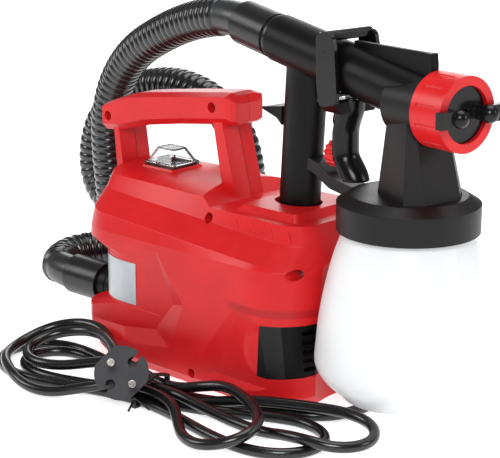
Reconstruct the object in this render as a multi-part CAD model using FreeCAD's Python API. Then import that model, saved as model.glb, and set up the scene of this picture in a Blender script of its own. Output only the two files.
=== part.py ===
import FreeCAD, Part
import math
import os

# Floor-standing turbine paint sprayer. Millimetres, +Z up, +X to the front of the base.
# The origin is the centre of the base's underside, on the ground.

os.makedirs("parts", exist_ok=True)
Vec = FreeCAD.Vector

# Driving dimensions of the base housing
foot_length = 189.0          # underside, front to rear
foot_half_width = 64.0
belly_half_width = 68.5      # widest, just above the foot
crease_half_width = 61.0     # lower edge of the sloped shoulder
shoulder_half_width = 44.0   # upper edge of the sloped shoulder
deck_half_width_rear = 30.0
deck_half_width_front = 40.0
wall = 2.5
crease_slope = -0.059        # both shoulder edges fall towards the front
crease_height = 99.0         # at X = 0
shoulder_height = 108.5      # at X = 0
upper_deck_height = 126.4    # crown of the rear deck
upper_deck_edge = 121.5      # rear deck at its edges
lower_deck_height = 116.5
deck_step_x = 5.5            # where the rear deck has stepped down
plate_thickness = 3.0        # base plate
plate_clearance = 0.0        # the plate is pressed in

# Handle
bar_half_width = 16.5
bar_crown_half_width = 9.0
bar_underside_half_width = 12.0
upright_half_width = 13.5
upright_nose = 1.6
upright_bevel = 2.0
upright_least = 4.0          # half of the thinnest place of the uprights
handle_wall = 2.5

# Gun position: its own frame has the cup axis at the origin and the nozzle along +X
cup_axis_x = 150.5
cup_axis_y = -14.0
gun_yaw = -8.0

# Cup and lid
cup_bottom = 16.5
cup_bottom_radius = 43.0
cup_belly_height = 37.0
cup_belly_radius = 56.5
cup_neck_height = 123.0
cup_neck_radius = 40.5
cup_rim_height = 135.5
cup_wall = 1.8
lid_radius = 44.5
lid_skirt_bottom = 123.4
lid_rim_height = 141.0
lid_top_height = 146.0
lid_wall = 2.6
thread_gap = 0.5

# Spray head, nozzle and barrel
nozzle_height = 201.5
barrel_radius = 15.8
barrel_wall = 2.6
barrel_tilt = 9.5            # rises towards the hose
barrel_rear = -122.0         # centre of the barrel's rear end
barrel_rear_height = 227.0
# The column's flat-sided sections: X from the cup's axis and half width, from the rear corner forwards
column_foot = [(-14.0, 13.7), (21.0, 25.5), (30.0, 15.0)]
column_top = [(-5.0, 14.0), (12.5, 15.5), (14.5, 12.5)]
head_radius = 18.5
head_rear = -8.0
head_front = 21.0
spigot_radius = 17.6
spigot_front = 33.0
ring_radius = 23.0
ring_rear = 19.5 + 2.0
ring_front = 46.0
ring_opening = 17.2
ring_wall_gap = 0.4
ring_side_gap = 0.5

# Grip
grip_long = 16.0             # half of its fore-and-aft size
grip_wide = 11.6             # half of its width
grip_bottom_x = -103.0
grip_bottom_height = 111.0
grip_top_x = -95.5
grip_top_height = 216.0
grip_wall = 2.4

# Trigger
pivot_x = -58.0
pivot_height = 226.0
pivot_radius = 2.0
running_gap = 0.05
trigger_side_gap = 0.6
trigger_arm = 3.0
trigger_half_width = 8.0
trigger_bottom_height = 146.0
knob_height = 159.8
knob_radius = 9.0
knob_screw_radius = 1.9
cross_pin_x = -50.0
cross_pin_radius = 1.5
trigger_angle = 10.0

# Hose and cuffs
hose_crest = 13.9
hose_root = 12.3
rib_pitch = 6.2
hose_plain_end = 26.0
hose_bore = 10.6
cuff_radius = 15.0
cuff_length = 38.0
cuff_spigot = 18.0
outlet_y = -36.0
outlet_height = 40.5
outlet_bore = 10.0
outlet_radius = 12.4
outlet_length = 22.0
cuff_fit = 0.0               # the cuffs push on, size on size
socket_clearance = 0.2

# Motor and turbine
motor_axis_height = 52.0
motor_radius = 30.0
motor_rear = -28.0
motor_front = 52.0
motor_wall = 2.0
shaft_radius = 4.0
core_radius = 17.5
stator_bore = 18.3
fan_radius = 42.0
fan_rear = -74.0
fan_front = motor_rear
fan_wall = 2.0
impeller_radius = 37.0
mount_ring = 4.0

# Switch
switch_x = -72.0
switch_length = 24.4
pedestal_height = 127.2
switch_width = 20.0
cover_length = 30.0
cover_width = 27.0
cover_height = 12.5
cover_wall = 1.2
rocker_tilt = 9.0
rocker_pin_radius = 1.2

# Mains cord and plug
cord_radius = 3.5
cord_rest = 3.6              # height of the cord's middle where it lies on the ground
waist_x = 15.0               # the tie goes round the hank here
tie_width = 4.0
tie_thickness = 1.4
plug_radius = 17.5
plug_rear_radius = 12.5
plug_rim = 6.0
plug_depth = 16.0
pin_radius = 2.4
pin_length = 19.0
pin_spacing = 19.0
pin_root = 8.0


def vec(x, y, z=0.0):
    return Vec(x, y, z)


def save(name, *solids):
    """Writes one node: a single solid, or a group of separate ones."""
    shape = solids[0] if len(solids) == 1 else Part.makeCompound(list(solids))
    shape.exportStep("parts/" + name + ".step")


def box(x0, x1, y0, y1, z0, z1):
    return Part.makeBox(x1 - x0, y1 - y0, z1 - z0, vec(x0, y0, z0))


def rod(radius, start, end):
    axis = end - start
    return Part.makeCylinder(radius, axis.Length, start, axis)


def tube(outer, inner, start, end):
    return rod(outer, start, end).cut(rod(inner, start, end))


def rounded(corners, radii):
    """Closed wire through flat corners, each rounded by a tangent arc."""
    edges = []
    count = len(corners)
    ends = []
    for i in range(count):
        corner = corners[i]
        back = (corners[i - 1] - corner).normalize()
        ahead = (corners[(i + 1) % count] - corner).normalize()
        half = back.getAngle(ahead) / 2
        reach = radii[i] / math.tan(half)
        first = corner + back * reach
        last = corner + ahead * reach
        centre = corner + (back + ahead).normalize() * (radii[i] / math.sin(half))
        middle = centre + (corner - centre).normalize() * radii[i]
        ends.append((first, middle, last))
    for i in range(count):
        first, middle, last = ends[i]
        edges.append(Part.Arc(first, middle, last).toShape())
        edges.append(Part.makeLine(last, ends[(i + 1) % count][0]))
    return Part.Wire(edges)


def side_profile(points, radii, half_width):
    """Solid from an X-Z outline, extruded to both sides of the middle plane."""
    corners = [vec(x, -half_width, z) for x, z in points]
    return Part.Face(rounded(corners, radii)).extrude(vec(0, 2 * half_width, 0))


def ellipse_wire(x, y, z, long, wide):
    curve = Part.Ellipse(vec(x, y, z), long, wide)
    return Part.Wire([curve.toShape()])


def revolve(points, axis_point, axis_dir):
    """Closed outline turned a full turn about an axis."""
    return Part.Face(Part.makePolygon(points + [points[0]])).revolve(axis_point, axis_dir, 360)


def to_gun(shape):
    """Moves a shape from the gun's own frame to the base's frame."""
    moved = shape.copy()
    moved.rotate(vec(0, 0, 0), vec(0, 0, 1), gun_yaw)
    moved.translate(vec(cup_axis_x, cup_axis_y, 0))
    return moved


def save_gun(name, *solids):
    save(name, *[to_gun(s) for s in solids])


# The housing: plan outlines stacked up the height
# height, slope, rear, front, half width rear, half width front, rear corner, front corner
belly = belly_half_width
body_levels = [
    (0.0, 0.0, -foot_length / 2, foot_length / 2, foot_half_width, foot_half_width, 34, 33),
    (7.0, 0.0, -99.0, 98.0, belly, belly, 36, 35),
    (11.0, 0.0, -98.0, 98.0, belly, belly, 36, 35),
    (22.0, 0.0, -107.0, 97.8, belly, belly, 36, 35),
    (34.0, 0.0, -107.5, 97.4, belly - 0.6, belly - 0.6, 36, 35),
    (83.0, 0.0, -110.0, 94.6, belly - 4.4, belly - 4.4, 36, 34),
    (90.0, 0.0, -110.0, 94.0, belly - 5.0, belly - 5.0, 36, 34),
    (crease_height - 2, crease_slope, -107.5, 93.0, crease_half_width, crease_half_width, 34, 33),
    (shoulder_height, crease_slope, -105.5, 90.5, shoulder_half_width, shoulder_half_width, 22, 22),
    (upper_deck_height + 2, 0.0, -104.5, 84.0, deck_half_width_rear, deck_half_width_front, 12, 12),
]

# The panel let in between the two belts around the rear
recess_low = 34.0
recess_high = 83.0
recess_rear = -99.5
recess_half_width = belly - 5.0
recess_corner = 46.0
recess_front = -24.0


def body_wire(level, inset, lift=0.0):
    z, slope, rear, front, half_rear, half_front, r_rear, r_front = level
    rear += inset
    front -= inset
    half_rear -= inset
    half_front -= inset
    plan = [(rear, -half_rear), (front, -half_front), (front, half_front), (rear, half_rear)]
    corners = [vec(x, y, z + lift + slope * x) for x, y in plan]
    radii = [r - inset for r in (r_rear, r_front, r_front, r_rear)]
    return rounded(corners, radii)


def deck_tool(drop):
    """Everything above the stepped, crowned deck."""
    reach = 200.0
    edge = 60.0
    rise = upper_deck_height - upper_deck_edge
    centre = upper_deck_height - drop
    fall = rise * (edge / deck_half_width_front) ** 2
    left = vec(-reach, -edge, centre - fall)
    right = vec(-reach, edge, centre - fall)
    top = [
        Part.Arc(left, vec(-reach, 0, centre), right).toShape(),
        Part.makeLine(right, vec(-reach, edge, 200)),
        Part.makeLine(vec(-reach, edge, 200), vec(-reach, -edge, 200)),
        Part.makeLine(vec(-reach, -edge, 200), left),
    ]
    upper = Part.Face(Part.Wire(top)).extrude(vec(2 * reach, 0, 0))
    low = lower_deck_height - drop
    rise = 14.0
    run = 22.0
    front = [
        vec(deck_step_x - run, -edge, 200),
        vec(deck_step_x - run, -edge, low + rise),
        vec(deck_step_x, -edge, low),
        vec(reach, -edge, low),
        vec(reach, -edge, 200),
    ]
    lower = Part.Face(Part.makePolygon(front + [front[0]])).extrude(vec(0, 2 * edge, 0))
    return upper.fuse(lower)


def cup_recess_at(grow):
    """Hollow in the front of the base that the hanging cup nests in."""
    return to_gun(rod(cup_belly_radius + cup_side_gap + grow, vec(0, 0, -5), vec(0, 0, 220)))


cup_side_gap = 1.5
cup_recess = cup_recess_at(0.0)
cup_recess_wall = cup_recess_at(wall)

# Handle: cross-sections along the bar (X, lower edge of its side face, upper edge)
bar_sections = [
    (-126.5, 151.5, 164.3),
    (-112.0, 152.8, 169.5),
    (-98.0, 156.4, 173.9),
    (-81.0, 160.7, 176.5),
    (-52.0, 165.4, 180.4),
    (-30.0, 168.3, 183.0),
    (-12.0, 170.5, 185.2),
    (-4.0, 171.6, 185.8),
]
bar_crown = 2.4              # crown above the side faces
bar_belly = 4.6              # underside below the side faces
bar_nose = 7.5               # the rounded front end
rear_upright = [(-120.2, -112.0, 156.0), (-116.2, -105.4, 112.0)]
front_upright = [(-20.0, -8.2, 170.0), (-9.0, 7.2, 112.0)]


def bar_wire(x, low, high, inset):
    half = bar_half_width - inset
    crown = bar_crown_half_width - inset / 2
    belly_half = bar_underside_half_width - inset / 2
    top = high + bar_crown - inset
    bottom = low - bar_belly + inset
    points = [
        vec(x, -half, low), vec(x, -half, high), vec(x, -crown, top), vec(x, crown, top),
        vec(x, half, high), vec(x, half, low), vec(x, belly_half, bottom), vec(x, -belly_half, bottom),
    ]
    return Part.makePolygon(points + [points[0]])


def bar_solid(inset):
    wires = []
    for i, (x, low, high) in enumerate(bar_sections):
        end = inset if i == 0 else 0.0
        wires.append(bar_wire(x + end, low, high, inset))
    solid = Part.makeLoft(wires, True, True)
    x, low, high = bar_sections[-1]
    shrink = [(0.0, 0.0), (0.6, 0.8), (1.0, 3.4)]
    nose = [bar_wire(x + (bar_nose - inset) * part, low - 2.2 * part, high - cut, inset + cut) for part, cut in shrink]
    return solid.fuse(Part.makeLoft(nose, True, True))


def upright_solid(ends, inset):
    wires = []
    for rear, front, z in ends:
        half = upright_half_width - inset
        nose = upright_nose * (1 - inset / upright_least)
        bevel = upright_bevel * (1 - inset / upright_least)
        points = [
            vec(rear + inset, -half + bevel, z), vec(rear + inset, half - bevel, z), vec(rear + inset + bevel, half, z),
            vec(front - inset - nose, half, z), vec(front - inset, 0, z), vec(front - inset - nose, -half, z),
            vec(rear + inset + bevel, -half, z),
        ]
        wires.append(Part.makePolygon(points + [points[0]]))
    return Part.makeLoft(wires, True, True)


def handle_solid(inset):
    return bar_solid(inset).fuse(upright_solid(rear_upright, inset)).fuse(upright_solid(front_upright, inset))


# Holder plate for the gun
holder_top = 121.0
holder_rear = 26.0
holder_front = 72.0
holder_half_width = 30.0
pocket_x = 48.5
pocket_long = 17.4
pocket_wide = 13.8
pocket_floor = grip_bottom_height - 0.3


def holder_plate():
    chamfer = holder_top - lower_deck_height
    low = [(holder_rear - chamfer, -1), (holder_front + chamfer, -1), (holder_front + chamfer, 1), (holder_rear - chamfer, 1)]
    high = [(holder_rear, -1), (holder_front, -1), (holder_front, 1), (holder_rear, 1)]
    base_half = holder_half_width + chamfer
    bottom = rounded([vec(x, s * base_half, lower_deck_height - 2) for x, s in low], [3.0] * 4)
    middle = rounded([vec(x, s * base_half, lower_deck_height) for x, s in low], [3.0] * 4)
    top = rounded([vec(x, s * holder_half_width, holder_top) for x, s in high], [3.0] * 4)
    return Part.makeLoft([bottom, middle, top], True, True)


screw_places = [
    (-120.6, 158.0, 3.4),
    (-16.0, 177.5, 3.6),
    (7.1, 110.0, 3.4),
    (88.0, 88.0, 3.4),
    (14.7, 9.5, 3.2),
    (-86.0, 15.0, 3.2),
]
screw_pocket_depth = 12.0
boss_wall = 1.6
screw_shank = 1.6
screw_head = 3.2

vent_low = 21.0
vent_high = 55.0
vent_half_width = 57.0
vent_rear = 76.0


def switch_pedestal():
    half_l = cover_length / 2 + 0.8
    half_w = cover_width / 2 + 0.8
    foot = pedestal_height - 6.0
    return hood(switch_x, foot, half_l + 3.5, half_w + 3.5, half_l, half_w, 6.0)


def rear_recess(inset):
    """Cut for the panel between the belts; it fades out towards the front of the sides."""
    plain = (0.0, recess_rear, 150.0, recess_half_width, recess_half_width, recess_corner, 20)
    low = body_levels[4]
    high = body_levels[5]
    levels = [
        (recess_low,) + low[1:3] + (150.0,) + low[4:7] + (20,),
        (recess_low + 7.0,) + plain,
        (recess_high - 8.0,) + plain,
        (recess_high,) + high[1:3] + (150.0,) + high[4:7] + (20,),
    ]
    core = Part.makeLoft([body_wire(level, inset) for level in levels], True, True)
    slab = box(-200, 0, -100, 100, recess_low + 0.01, recess_high - 0.01)
    limit = [vec(-200, -100, 30), vec(recess_front + 6, -100, 30), vec(recess_front + 2, -100, 52),
             vec(recess_front - 12, -100, 90), vec(-200, -100, 90)]
    limit = Part.Face(Part.makePolygon(limit + [limit[0]])).extrude(vec(0, 200, 0))
    return slab.common(limit).cut(core)


def side_pocket(floor, rim, depth, surface):
    """Shallow recess with sloped edges, on both sides; floor and rim are X-Z outlines."""
    reach = 82.0
    tools = []
    for side in (-1, 1):
        wires = []
        for y, share in ((surface - depth, 0.0), (reach, (reach - surface + depth) / depth)):
            points = []
            for (fx, fz), (rx, rz) in zip(floor, rim):
                points.append(vec(fx + (rx - fx) * share, side * y, fz + (rz - fz) * share))
            wires.append(Part.makePolygon(points + [points[0]]))
        tools.append(Part.makeLoft(wires, True, True))
    return tools


front_pocket_floor = [(53.0, 57.5), (112.0, 51.5), (112.0, 14.0), (33.0, 14.0)]
front_pocket_rim = [(47.5, 63.5), (112.0, 57.5), (112.0, 12.0), (24.0, 12.0)]
rear_pocket_floor = [(-23.0, 85.0), (-6.5, 51.5), (-24.0, 30.5), (-56.0, 25.0), (-140.0, 25.0), (-140.0, 85.0)]
rear_pocket_rim = [(-15.0, 88.5), (4.5, 54.0), (-15.0, 26.5), (-52.0, 20.5), (-142.0, 20.5), (-142.0, 88.5)]
pocket_depth = 2.4


def housing_outer():
    body = Part.makeLoft([body_wire(level, 0.0) for level in body_levels], True, True)
    for tool in side_pocket(front_pocket_floor, front_pocket_rim, pocket_depth, belly - 1.5):
        body = body.cut(tool)
    for tool in side_pocket(rear_pocket_floor, rear_pocket_rim, pocket_depth, belly - 2.4):
        body = body.cut(tool)
    body = body.cut(rear_recess(0.0))
    body = body.cut(deck_tool(0.0))
    body = body.fuse(holder_plate())
    body = body.fuse(switch_pedestal())
    return body.cut(cup_recess).fuse(handle_solid(0.0))


def cavity_level(level):
    """The hollow clears the recesses, so it follows the outside only above them."""
    z, slope, rear, front, half_rear, half_front, r_rear, r_front = level
    low_half = belly - 1.5 - pocket_depth - wall - 0.6
    deep_half = recess_half_width - wall
    rear = max(rear, recess_rear) + wall
    half = min(half_rear - wall, low_half, deep_half)
    return (z, slope, rear, front - wall - 0.8, half, min(half_front - wall, half), r_rear + 6, r_front - wall)


def housing_cavity():
    inner = Part.makeLoft([body_wire(cavity_level(level), 0.0) for level in body_levels], True, True)
    inner = inner.cut(deck_tool(wall))
    inner = inner.cut(cup_recess_wall)
    inner = inner.cut(box(-150, 150, -100, 100, -5, plate_thickness))
    pocket_boss = Part.Face(ellipse_wire(pocket_x, 0, pocket_floor - wall, pocket_long + wall, pocket_wide + wall))
    return inner.cut(pocket_boss.extrude(vec(0, 0, 60)))


def handle_cavity():
    solid = handle_solid(handle_wall)
    return solid.cut(box(-200, 200, -50, 50, -20, upper_deck_height - 5))


def boss(x, z, radius, half):
    return rod(radius + boss_wall, vec(x, -half, z), vec(x, half, z))


def side_at(outer, x, z):
    """Half width of the housing at a screw's place."""
    probe = Part.makeLine(vec(x, -150, z), vec(x, 0, z))
    hit = probe.common(outer)
    return min(v.Y for v in hit.Vertexes)


def build_housing():
    outer = housing_outer()
    cavity = housing_cavity().fuse(handle_cavity())
    shell = outer.cut(cavity)
    screws_solids = []
    sides = []
    for x, z, radius in screw_places:
        sides.append(side_at(outer, x, z))
    for (x, z, radius), side in zip(screw_places, sides):
        shell = shell.fuse(boss(x, z, radius, -side - 1.0).common(outer))
    for (x, z, radius), side in zip(screw_places, sides):
        depth = min(screw_pocket_depth, -side - 8.0)
        shell = shell.cut(rod(radius, vec(x, side - 5, z), vec(x, side + depth, z)))
        shell = shell.cut(rod(screw_shank + 0.2, vec(x, side - 5, z), vec(x, 8.0, z)))
        head = rod(screw_head, vec(x, side + depth - 2.2, z), vec(x, side + depth, z))
        shank = rod(screw_shank, vec(x, side + depth, z), vec(x, 7.5, z))
        screws_solids.append(head.fuse(shank))
    plate_room = Part.makeLoft([body_wire(body_levels[0], 6.0, -1.0), body_wire(body_levels[0], 6.0, plate_thickness)], True, True)
    shell = shell.cut(plate_room)
    shell = shell.cut(vent_space())
    socket_hole = rod(outlet_radius + socket_clearance, vec(-130, outlet_y, outlet_height),
                      vec(duct_room_front, outlet_y, outlet_height))
    cuff_room = rod(cuff_radius + 0.6, vec(-130, outlet_y, outlet_height), vec(cuff_start + 1.0, outlet_y, outlet_height))
    shell = shell.cut(socket_hole).cut(cuff_room)
    shell = shell.cut(rod(relief_radius, vec(relief_x, 50, relief_height), vec(relief_x, 90, relief_height)))
    shell = shell.cut(switch_room())
    pocket = Part.Face(ellipse_wire(pocket_x, 0, pocket_floor, pocket_long, pocket_wide)).extrude(vec(0, 0, 30))
    shell = shell.cut(pocket)
    right = shell.common(box(-200, 200, -150, 0, -10, 250))
    left = shell.common(box(-200, 200, 0, 150, -10, 250))
    save("housing_right", biggest(right))
    save("housing_left", biggest(left))
    save("housing_screws", *screws_solids)


def biggest(shape):
    return max(shape.Solids, key=lambda s: s.Volume)


def vent_space():
    return box(vent_rear, 150, -vent_half_width, vent_half_width, vent_low, vent_high)


def build_vent():
    """Grille that follows the housing's front, with slots across it."""
    sunk = 0.6
    gap = 0.0
    skin = Part.makeLoft([body_wire(level, sunk) for level in body_levels], True, True)
    skin = skin.cut(cup_recess_at(sunk))
    core = Part.makeLoft([body_wire(level, sunk + wall) for level in body_levels], True, True)
    core = core.cut(cup_recess_at(sunk + wall))
    room = box(vent_rear + gap, 150, -vent_half_width + gap, vent_half_width - gap, vent_low + gap, vent_high - gap)
    grille = skin.cut(core).common(room)
    slot_pitch = 6.0
    slot_height = 2.9
    slot_half_width = 46.0
    for i in range(5):
        low = vent_low + 3.4 + i * slot_pitch
        grille = grille.cut(box(84, 150, -slot_half_width, -1.5, low, low + slot_height))
        grille = grille.cut(box(84, 150, 1.5, slot_half_width, low, low + slot_height))
    save("vent_grille", biggest(grille))
    filter_front = 84.0
    save("air_filter", box(filter_front - 10, filter_front, -40, 40, plate_thickness, vent_high + 2))


def build_base_plate():
    gap = plate_clearance
    plate = Part.makeLoft([body_wire(body_levels[0], 6.0 + gap, 0.0), body_wire(body_levels[0], 6.0 + gap, plate_thickness)], True, True)
    ring = motor_radius + mount_ring
    for x in mount_places:
        cradle = box(x - 6, x + 6, -26, 26, plate_thickness - 0.5, motor_axis_height - 12)
        cradle = cradle.cut(rod(ring, vec(x - 20, 0, motor_axis_height), vec(x + 20, 0, motor_axis_height)))
        plate = plate.fuse(cradle)
    save("base_plate", plate)


mount_places = [motor_rear + 16, motor_front - 10]


def build_motor():
    axis = motor_axis_height
    rear = vec(motor_rear, 0, axis)
    front = vec(motor_front, 0, axis)
    can = tube(motor_radius, motor_radius - motor_wall, rear, front)
    end_wall = 3.0
    seat = 11.0
    rear_wall = tube(motor_radius - motor_wall, seat, rear, vec(motor_rear + end_wall, 0, axis))
    rear_seat = tube(seat + 2, seat, rear, vec(motor_rear + 8, 0, axis))
    front_wall = tube(motor_radius - motor_wall, seat, vec(motor_front - end_wall, 0, axis), front)
    front_seat = tube(seat + 2, seat, vec(motor_front - 8, 0, axis), front)
    can = can.fuse(rear_wall).fuse(rear_seat).fuse(front_wall).fuse(front_seat)
    save("motor_can", can)

    stator = tube(motor_radius - motor_wall, stator_bore, vec(motor_rear + 12, 0, axis), vec(motor_rear + 46, 0, axis))
    save("stator_core", stator)

    bearing_long = 7.0
    bearings = []
    for x in (motor_rear + 0.5, motor_front - 0.5 - bearing_long):
        ring = tube(11.0, shaft_radius + running_gap, vec(x, 0, axis), vec(x + bearing_long, 0, axis))
        bearings.append(ring)
    save("motor_bearings", *bearings)

    shaft = rod(shaft_radius, vec(fan_rear + 12, 0, axis), vec(motor_front + 3, 0, axis))
    core = rod(core_radius, vec(motor_rear + 12, 0, axis), vec(motor_rear + 46, 0, axis))
    slots = []
    slot_count = 12
    for i in range(slot_count):
        angle = 2 * math.pi * i / slot_count
        y = core_radius * math.cos(angle)
        z = core_radius * math.sin(angle)
        slots.append(rod(1.3, vec(motor_rear + 11, y, axis + z), vec(motor_rear + 47, y, axis + z)))
    core = core.cut(Part.makeCompound(slots))
    commutator = rod(11.0, vec(motor_rear + 54, 0, axis), vec(motor_rear + 66, 0, axis))
    save("armature", shaft.fuse(core).fuse(commutator))

    brushes = []
    for side in (-1, 1):
        low = 11.4
        high = motor_radius - motor_wall
        block = box(motor_rear + 56, motor_rear + 64, -4, 4, 0, high - low)
        block.translate(vec(0, 0, low))
        block.rotate(vec(0, 0, 0), vec(1, 0, 0), 90 * side)
        block.translate(vec(0, 0, axis))
        brushes.append(block.common(rod(high, rear, front)))
    save("brush_holders", *brushes)

    rubbers = []
    for x in mount_places:
        rubbers.append(tube(motor_radius + mount_ring, motor_radius, vec(x - 5, 0, axis), vec(x + 5, 0, axis)))
    save("motor_rubber_mounts", *rubbers)


def build_fan():
    axis = motor_axis_height
    rear = vec(fan_rear, 0, axis)
    front = vec(fan_front, 0, axis)
    outer = rod(fan_radius, rear, front)
    duct_end = vec(duct_face, outlet_y, outlet_height)
    duct_start = vec(fan_rear + 6, outlet_y, outlet_height)
    tongue = box(fan_rear, fan_front, outlet_y - 6, 0, outlet_height - 15, outlet_height + 15)
    outer = outer.fuse(tongue).fuse(rod(outlet_bore + fan_wall, duct_end, duct_start))
    inner = rod(fan_radius - fan_wall, vec(fan_rear + fan_wall, 0, axis), vec(fan_front - fan_wall, 0, axis))
    room = box(fan_rear + fan_wall, fan_front - fan_wall, outlet_y - 6 + fan_wall, 0, outlet_height - 13, outlet_height + 13)
    inner = inner.fuse(room).fuse(rod(outlet_bore, duct_end, duct_start))
    housing = outer.cut(inner)
    inlet = rod(15.0, vec(fan_front - 5, 0, axis), vec(fan_front + 1, 0, axis))
    save("fan_housing", biggest(housing.cut(inlet)))

    hub = rod(9.0, vec(fan_rear + 14, 0, axis), vec(fan_front - 8, 0, axis))
    back = rod(impeller_radius, vec(fan_rear + 12, 0, axis), vec(fan_rear + 14, 0, axis))
    shroud = tube(impeller_radius, 17.0, vec(fan_front - 12, 0, axis), vec(fan_front - 10, 0, axis))
    wheel = hub.fuse(back).fuse(shroud)
    vane_count = 9
    for i in range(vane_count):
        vane = box(fan_rear + 13, fan_front - 11, -1, 1, 8, impeller_radius - 1)
        vane.rotate(vec(0, 0, 0), vec(1, 0, 0), 360 / vane_count * i)
        vane.translate(vec(0, 0, axis))
        wheel = wheel.fuse(vane)
    bore = rod(shaft_radius, vec(fan_rear, 0, axis), vec(fan_front, 0, axis))
    save("turbine_impeller", biggest(wheel.cut(bore)))

    socket_start = vec(duct_face, outlet_y, outlet_height)
    tip = vec(socket_tip, outlet_y, outlet_height)
    socket = rod(outlet_radius, socket_start, tip)
    socket = socket.cut(rod(outlet_bore, socket_start, tip))
    save("hose_outlet", socket)


duct_face = -94.5
duct_room_front = -80.0
cuff_start = -103.0
socket_tip = cuff_start - outlet_length


relief_x = 0.0
relief_height = 15.0
relief_radius = 6.5
relief_length = 26.0
relief_inner = 57.0
relief_outer = 69.5
cord_end_y = 34.0


def build_cord_entry():
    """The mains cord comes in low on the left side, through a sleeve and under a clamp."""
    def at(y):
        return vec(relief_x, y, relief_height)
    collar = rod(relief_radius + 2, at(relief_inner), at(relief_inner + 2.5))
    neck = rod(relief_radius, at(relief_inner), at(relief_outer))
    cone = Part.makeCone(relief_radius, cord_radius + 1.2, relief_length, at(relief_outer), vec(0, 1, 0))
    relief = collar.fuse(neck).fuse(cone)
    relief = relief.cut(rod(cord_radius, at(relief_inner - 1), at(relief_outer + relief_length + 1)))
    save("cord_strain_relief", biggest(relief))
    clamp = box(relief_x - 9, relief_x + 9, 42, 50, plate_thickness, relief_height + 7)
    save("cord_clamp", clamp.cut(rod(cord_radius, at(30), at(60))))
    low = plate_thickness
    block = box(block_rear, block_front, 30, 52, low, low + 13)
    for y in wire_lanes:
        block = block.cut(rod(lead_radius, vec(block_rear - 4, y, wire_height), vec(block_front + 4, y, wire_height)))
    save("terminal_block", block)
    save("noise_capacitor", box(block_front + 9, block_front + 23, 20, 46, low, low + 18))


lead_radius = 1.1
block_rear = 32.0
block_front = 47.0
lead_rise = 18.5             # the leads pass over the boss of the low screw
wire_lanes = (35.0, 41.0, 47.0)
wire_height = 10.0


def build_leads():
    """Single wires from the cord's end, the switch and the motor, each ending in the terminal block."""
    leads = []
    for shift, lane in ((-1.6, wire_lanes[0]), (1.6, wire_lanes[1])):
        path, radii = bend_path([
            vec(relief_x + shift, cord_end_y, relief_height), vec(relief_x + shift, cord_end_y - 6 + 2 * shift, relief_height),
            vec(relief_x + 7, cord_end_y - 8 + 3 * shift, lead_rise), vec(relief_x + 20, lane, lead_rise),
            vec(block_rear - 5, lane, wire_height), vec(block_rear + 6, lane, wire_height),
        ])
        leads.append(pipe(path, lead_radius))
    path, radii = bend_path([
        vec(block_front - 6, wire_lanes[0], wire_height), vec(block_front + 6, wire_lanes[0], wire_height),
        vec(block_front + 6, 14, 28), vec(motor_front + 6, 12, 46), vec(motor_front + 4, 14, motor_axis_height + 6),
        vec(motor_front, 14, motor_axis_height + 6),
    ])
    leads.append(pipe(path, lead_radius))
    tab = pedestal_height - 26
    path, radii = bend_path([
        vec(block_front - 6, wire_lanes[2], wire_height), vec(block_front + 6, wire_lanes[2], wire_height),
        vec(block_front + 8, 54, 30), vec(10, 56, 80), vec(-25, 46, 96), vec(-50, 20, tab - 3),
        vec(switch_x + 7, 0, tab - 5), vec(switch_x + 7, 0, tab),
    ])
    leads.append(pipe(path, lead_radius))
    save("inner_leads", *leads)


def switch_room():
    x = switch_x
    length = switch_length / 2 + 0.3
    width = switch_width / 2 + 0.3
    return box(x - length, x + length, -width, width, pedestal_height - 20, pedestal_height + 5)


def build_switch():
    x = switch_x
    top = pedestal_height
    half_l = switch_length / 2
    half_w = switch_width / 2
    flange_l = half_l + 1.2
    flange_w = half_w + 1.8
    flange = box(x - flange_l, x + flange_l, -flange_w, flange_w, top, top + 1.8)
    body = box(x - half_l, x + half_l, -half_w, half_w, top - 19, top + 0.5)
    well = box(x - 10.0, x + 10.0, -6.5, 6.5, top - 8, top + 5)
    frame = flange.fuse(body).cut(well)
    tabs = []
    for dx in (-7, 0, 7):
        tabs.append(box(x + dx - 0.4, x + dx + 0.4, -3.2, 3.2, top - 26, top - 18.5))
    frame = frame.fuse(Part.makeCompound(tabs))
    pivot = vec(x, 0, top - 1.0)
    pin_end = vec(0, 8.0, 0)
    frame = frame.cut(rod(rocker_pin_radius + running_gap, pivot - pin_end * 1.01, pivot + pin_end * 1.01))
    save("switch_frame", biggest(frame))

    outline = [(-9.2, 2.0), (-9.2, 4.6), (0.0, 2.2), (9.2, 4.6), (9.2, 2.0), (3.0, -5.5), (-3.0, -5.5)]
    corners = [vec(x + px, -6.0, top - 1.0 + pz) for px, pz in outline]
    rocker = Part.Face(Part.makePolygon(corners + [corners[0]])).extrude(vec(0, 12.0, 0))
    rocker.rotate(pivot, vec(0, 1, 0), rocker_tilt)
    rocker = rocker.fuse(rod(rocker_pin_radius, pivot - pin_end, pivot + pin_end))
    save("switch_rocker", rocker)

    half_l = cover_length / 2
    half_w = cover_width / 2
    skirt = hood(x, top, half_l, half_w, half_l, half_w, 3.0)
    crown = hood(x, top + 3.0, half_l - 1.5, half_w - 1.5, half_l - 6.5, half_w - 6.5, cover_height - 3.0)
    room = box(x - flange_l - 0.1, x + flange_l + 0.1, -flange_w - 0.1, flange_w + 0.1, top - 1, top + 1.9)
    inside = hood(x, top + 1.8, half_l - 2.6, half_w - 2.6, half_l - 7.6, half_w - 7.6, cover_height - 3.2)
    save("switch_cover", biggest(skirt.fuse(crown).cut(room).cut(inside)))


def hood(x, z, low_l, low_w, high_l, high_w, height):
    def frame(half_l, half_w, level):
        plan = [(-half_l, -half_w), (half_l, -half_w), (half_l, half_w), (-half_l, half_w)]
        return rounded([vec(x + px, py, level) for px, py in plan], [2.0] * 4)
    return Part.makeLoft([frame(low_l, low_w, z), frame(high_l, high_w, z + height)], True, True)


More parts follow.
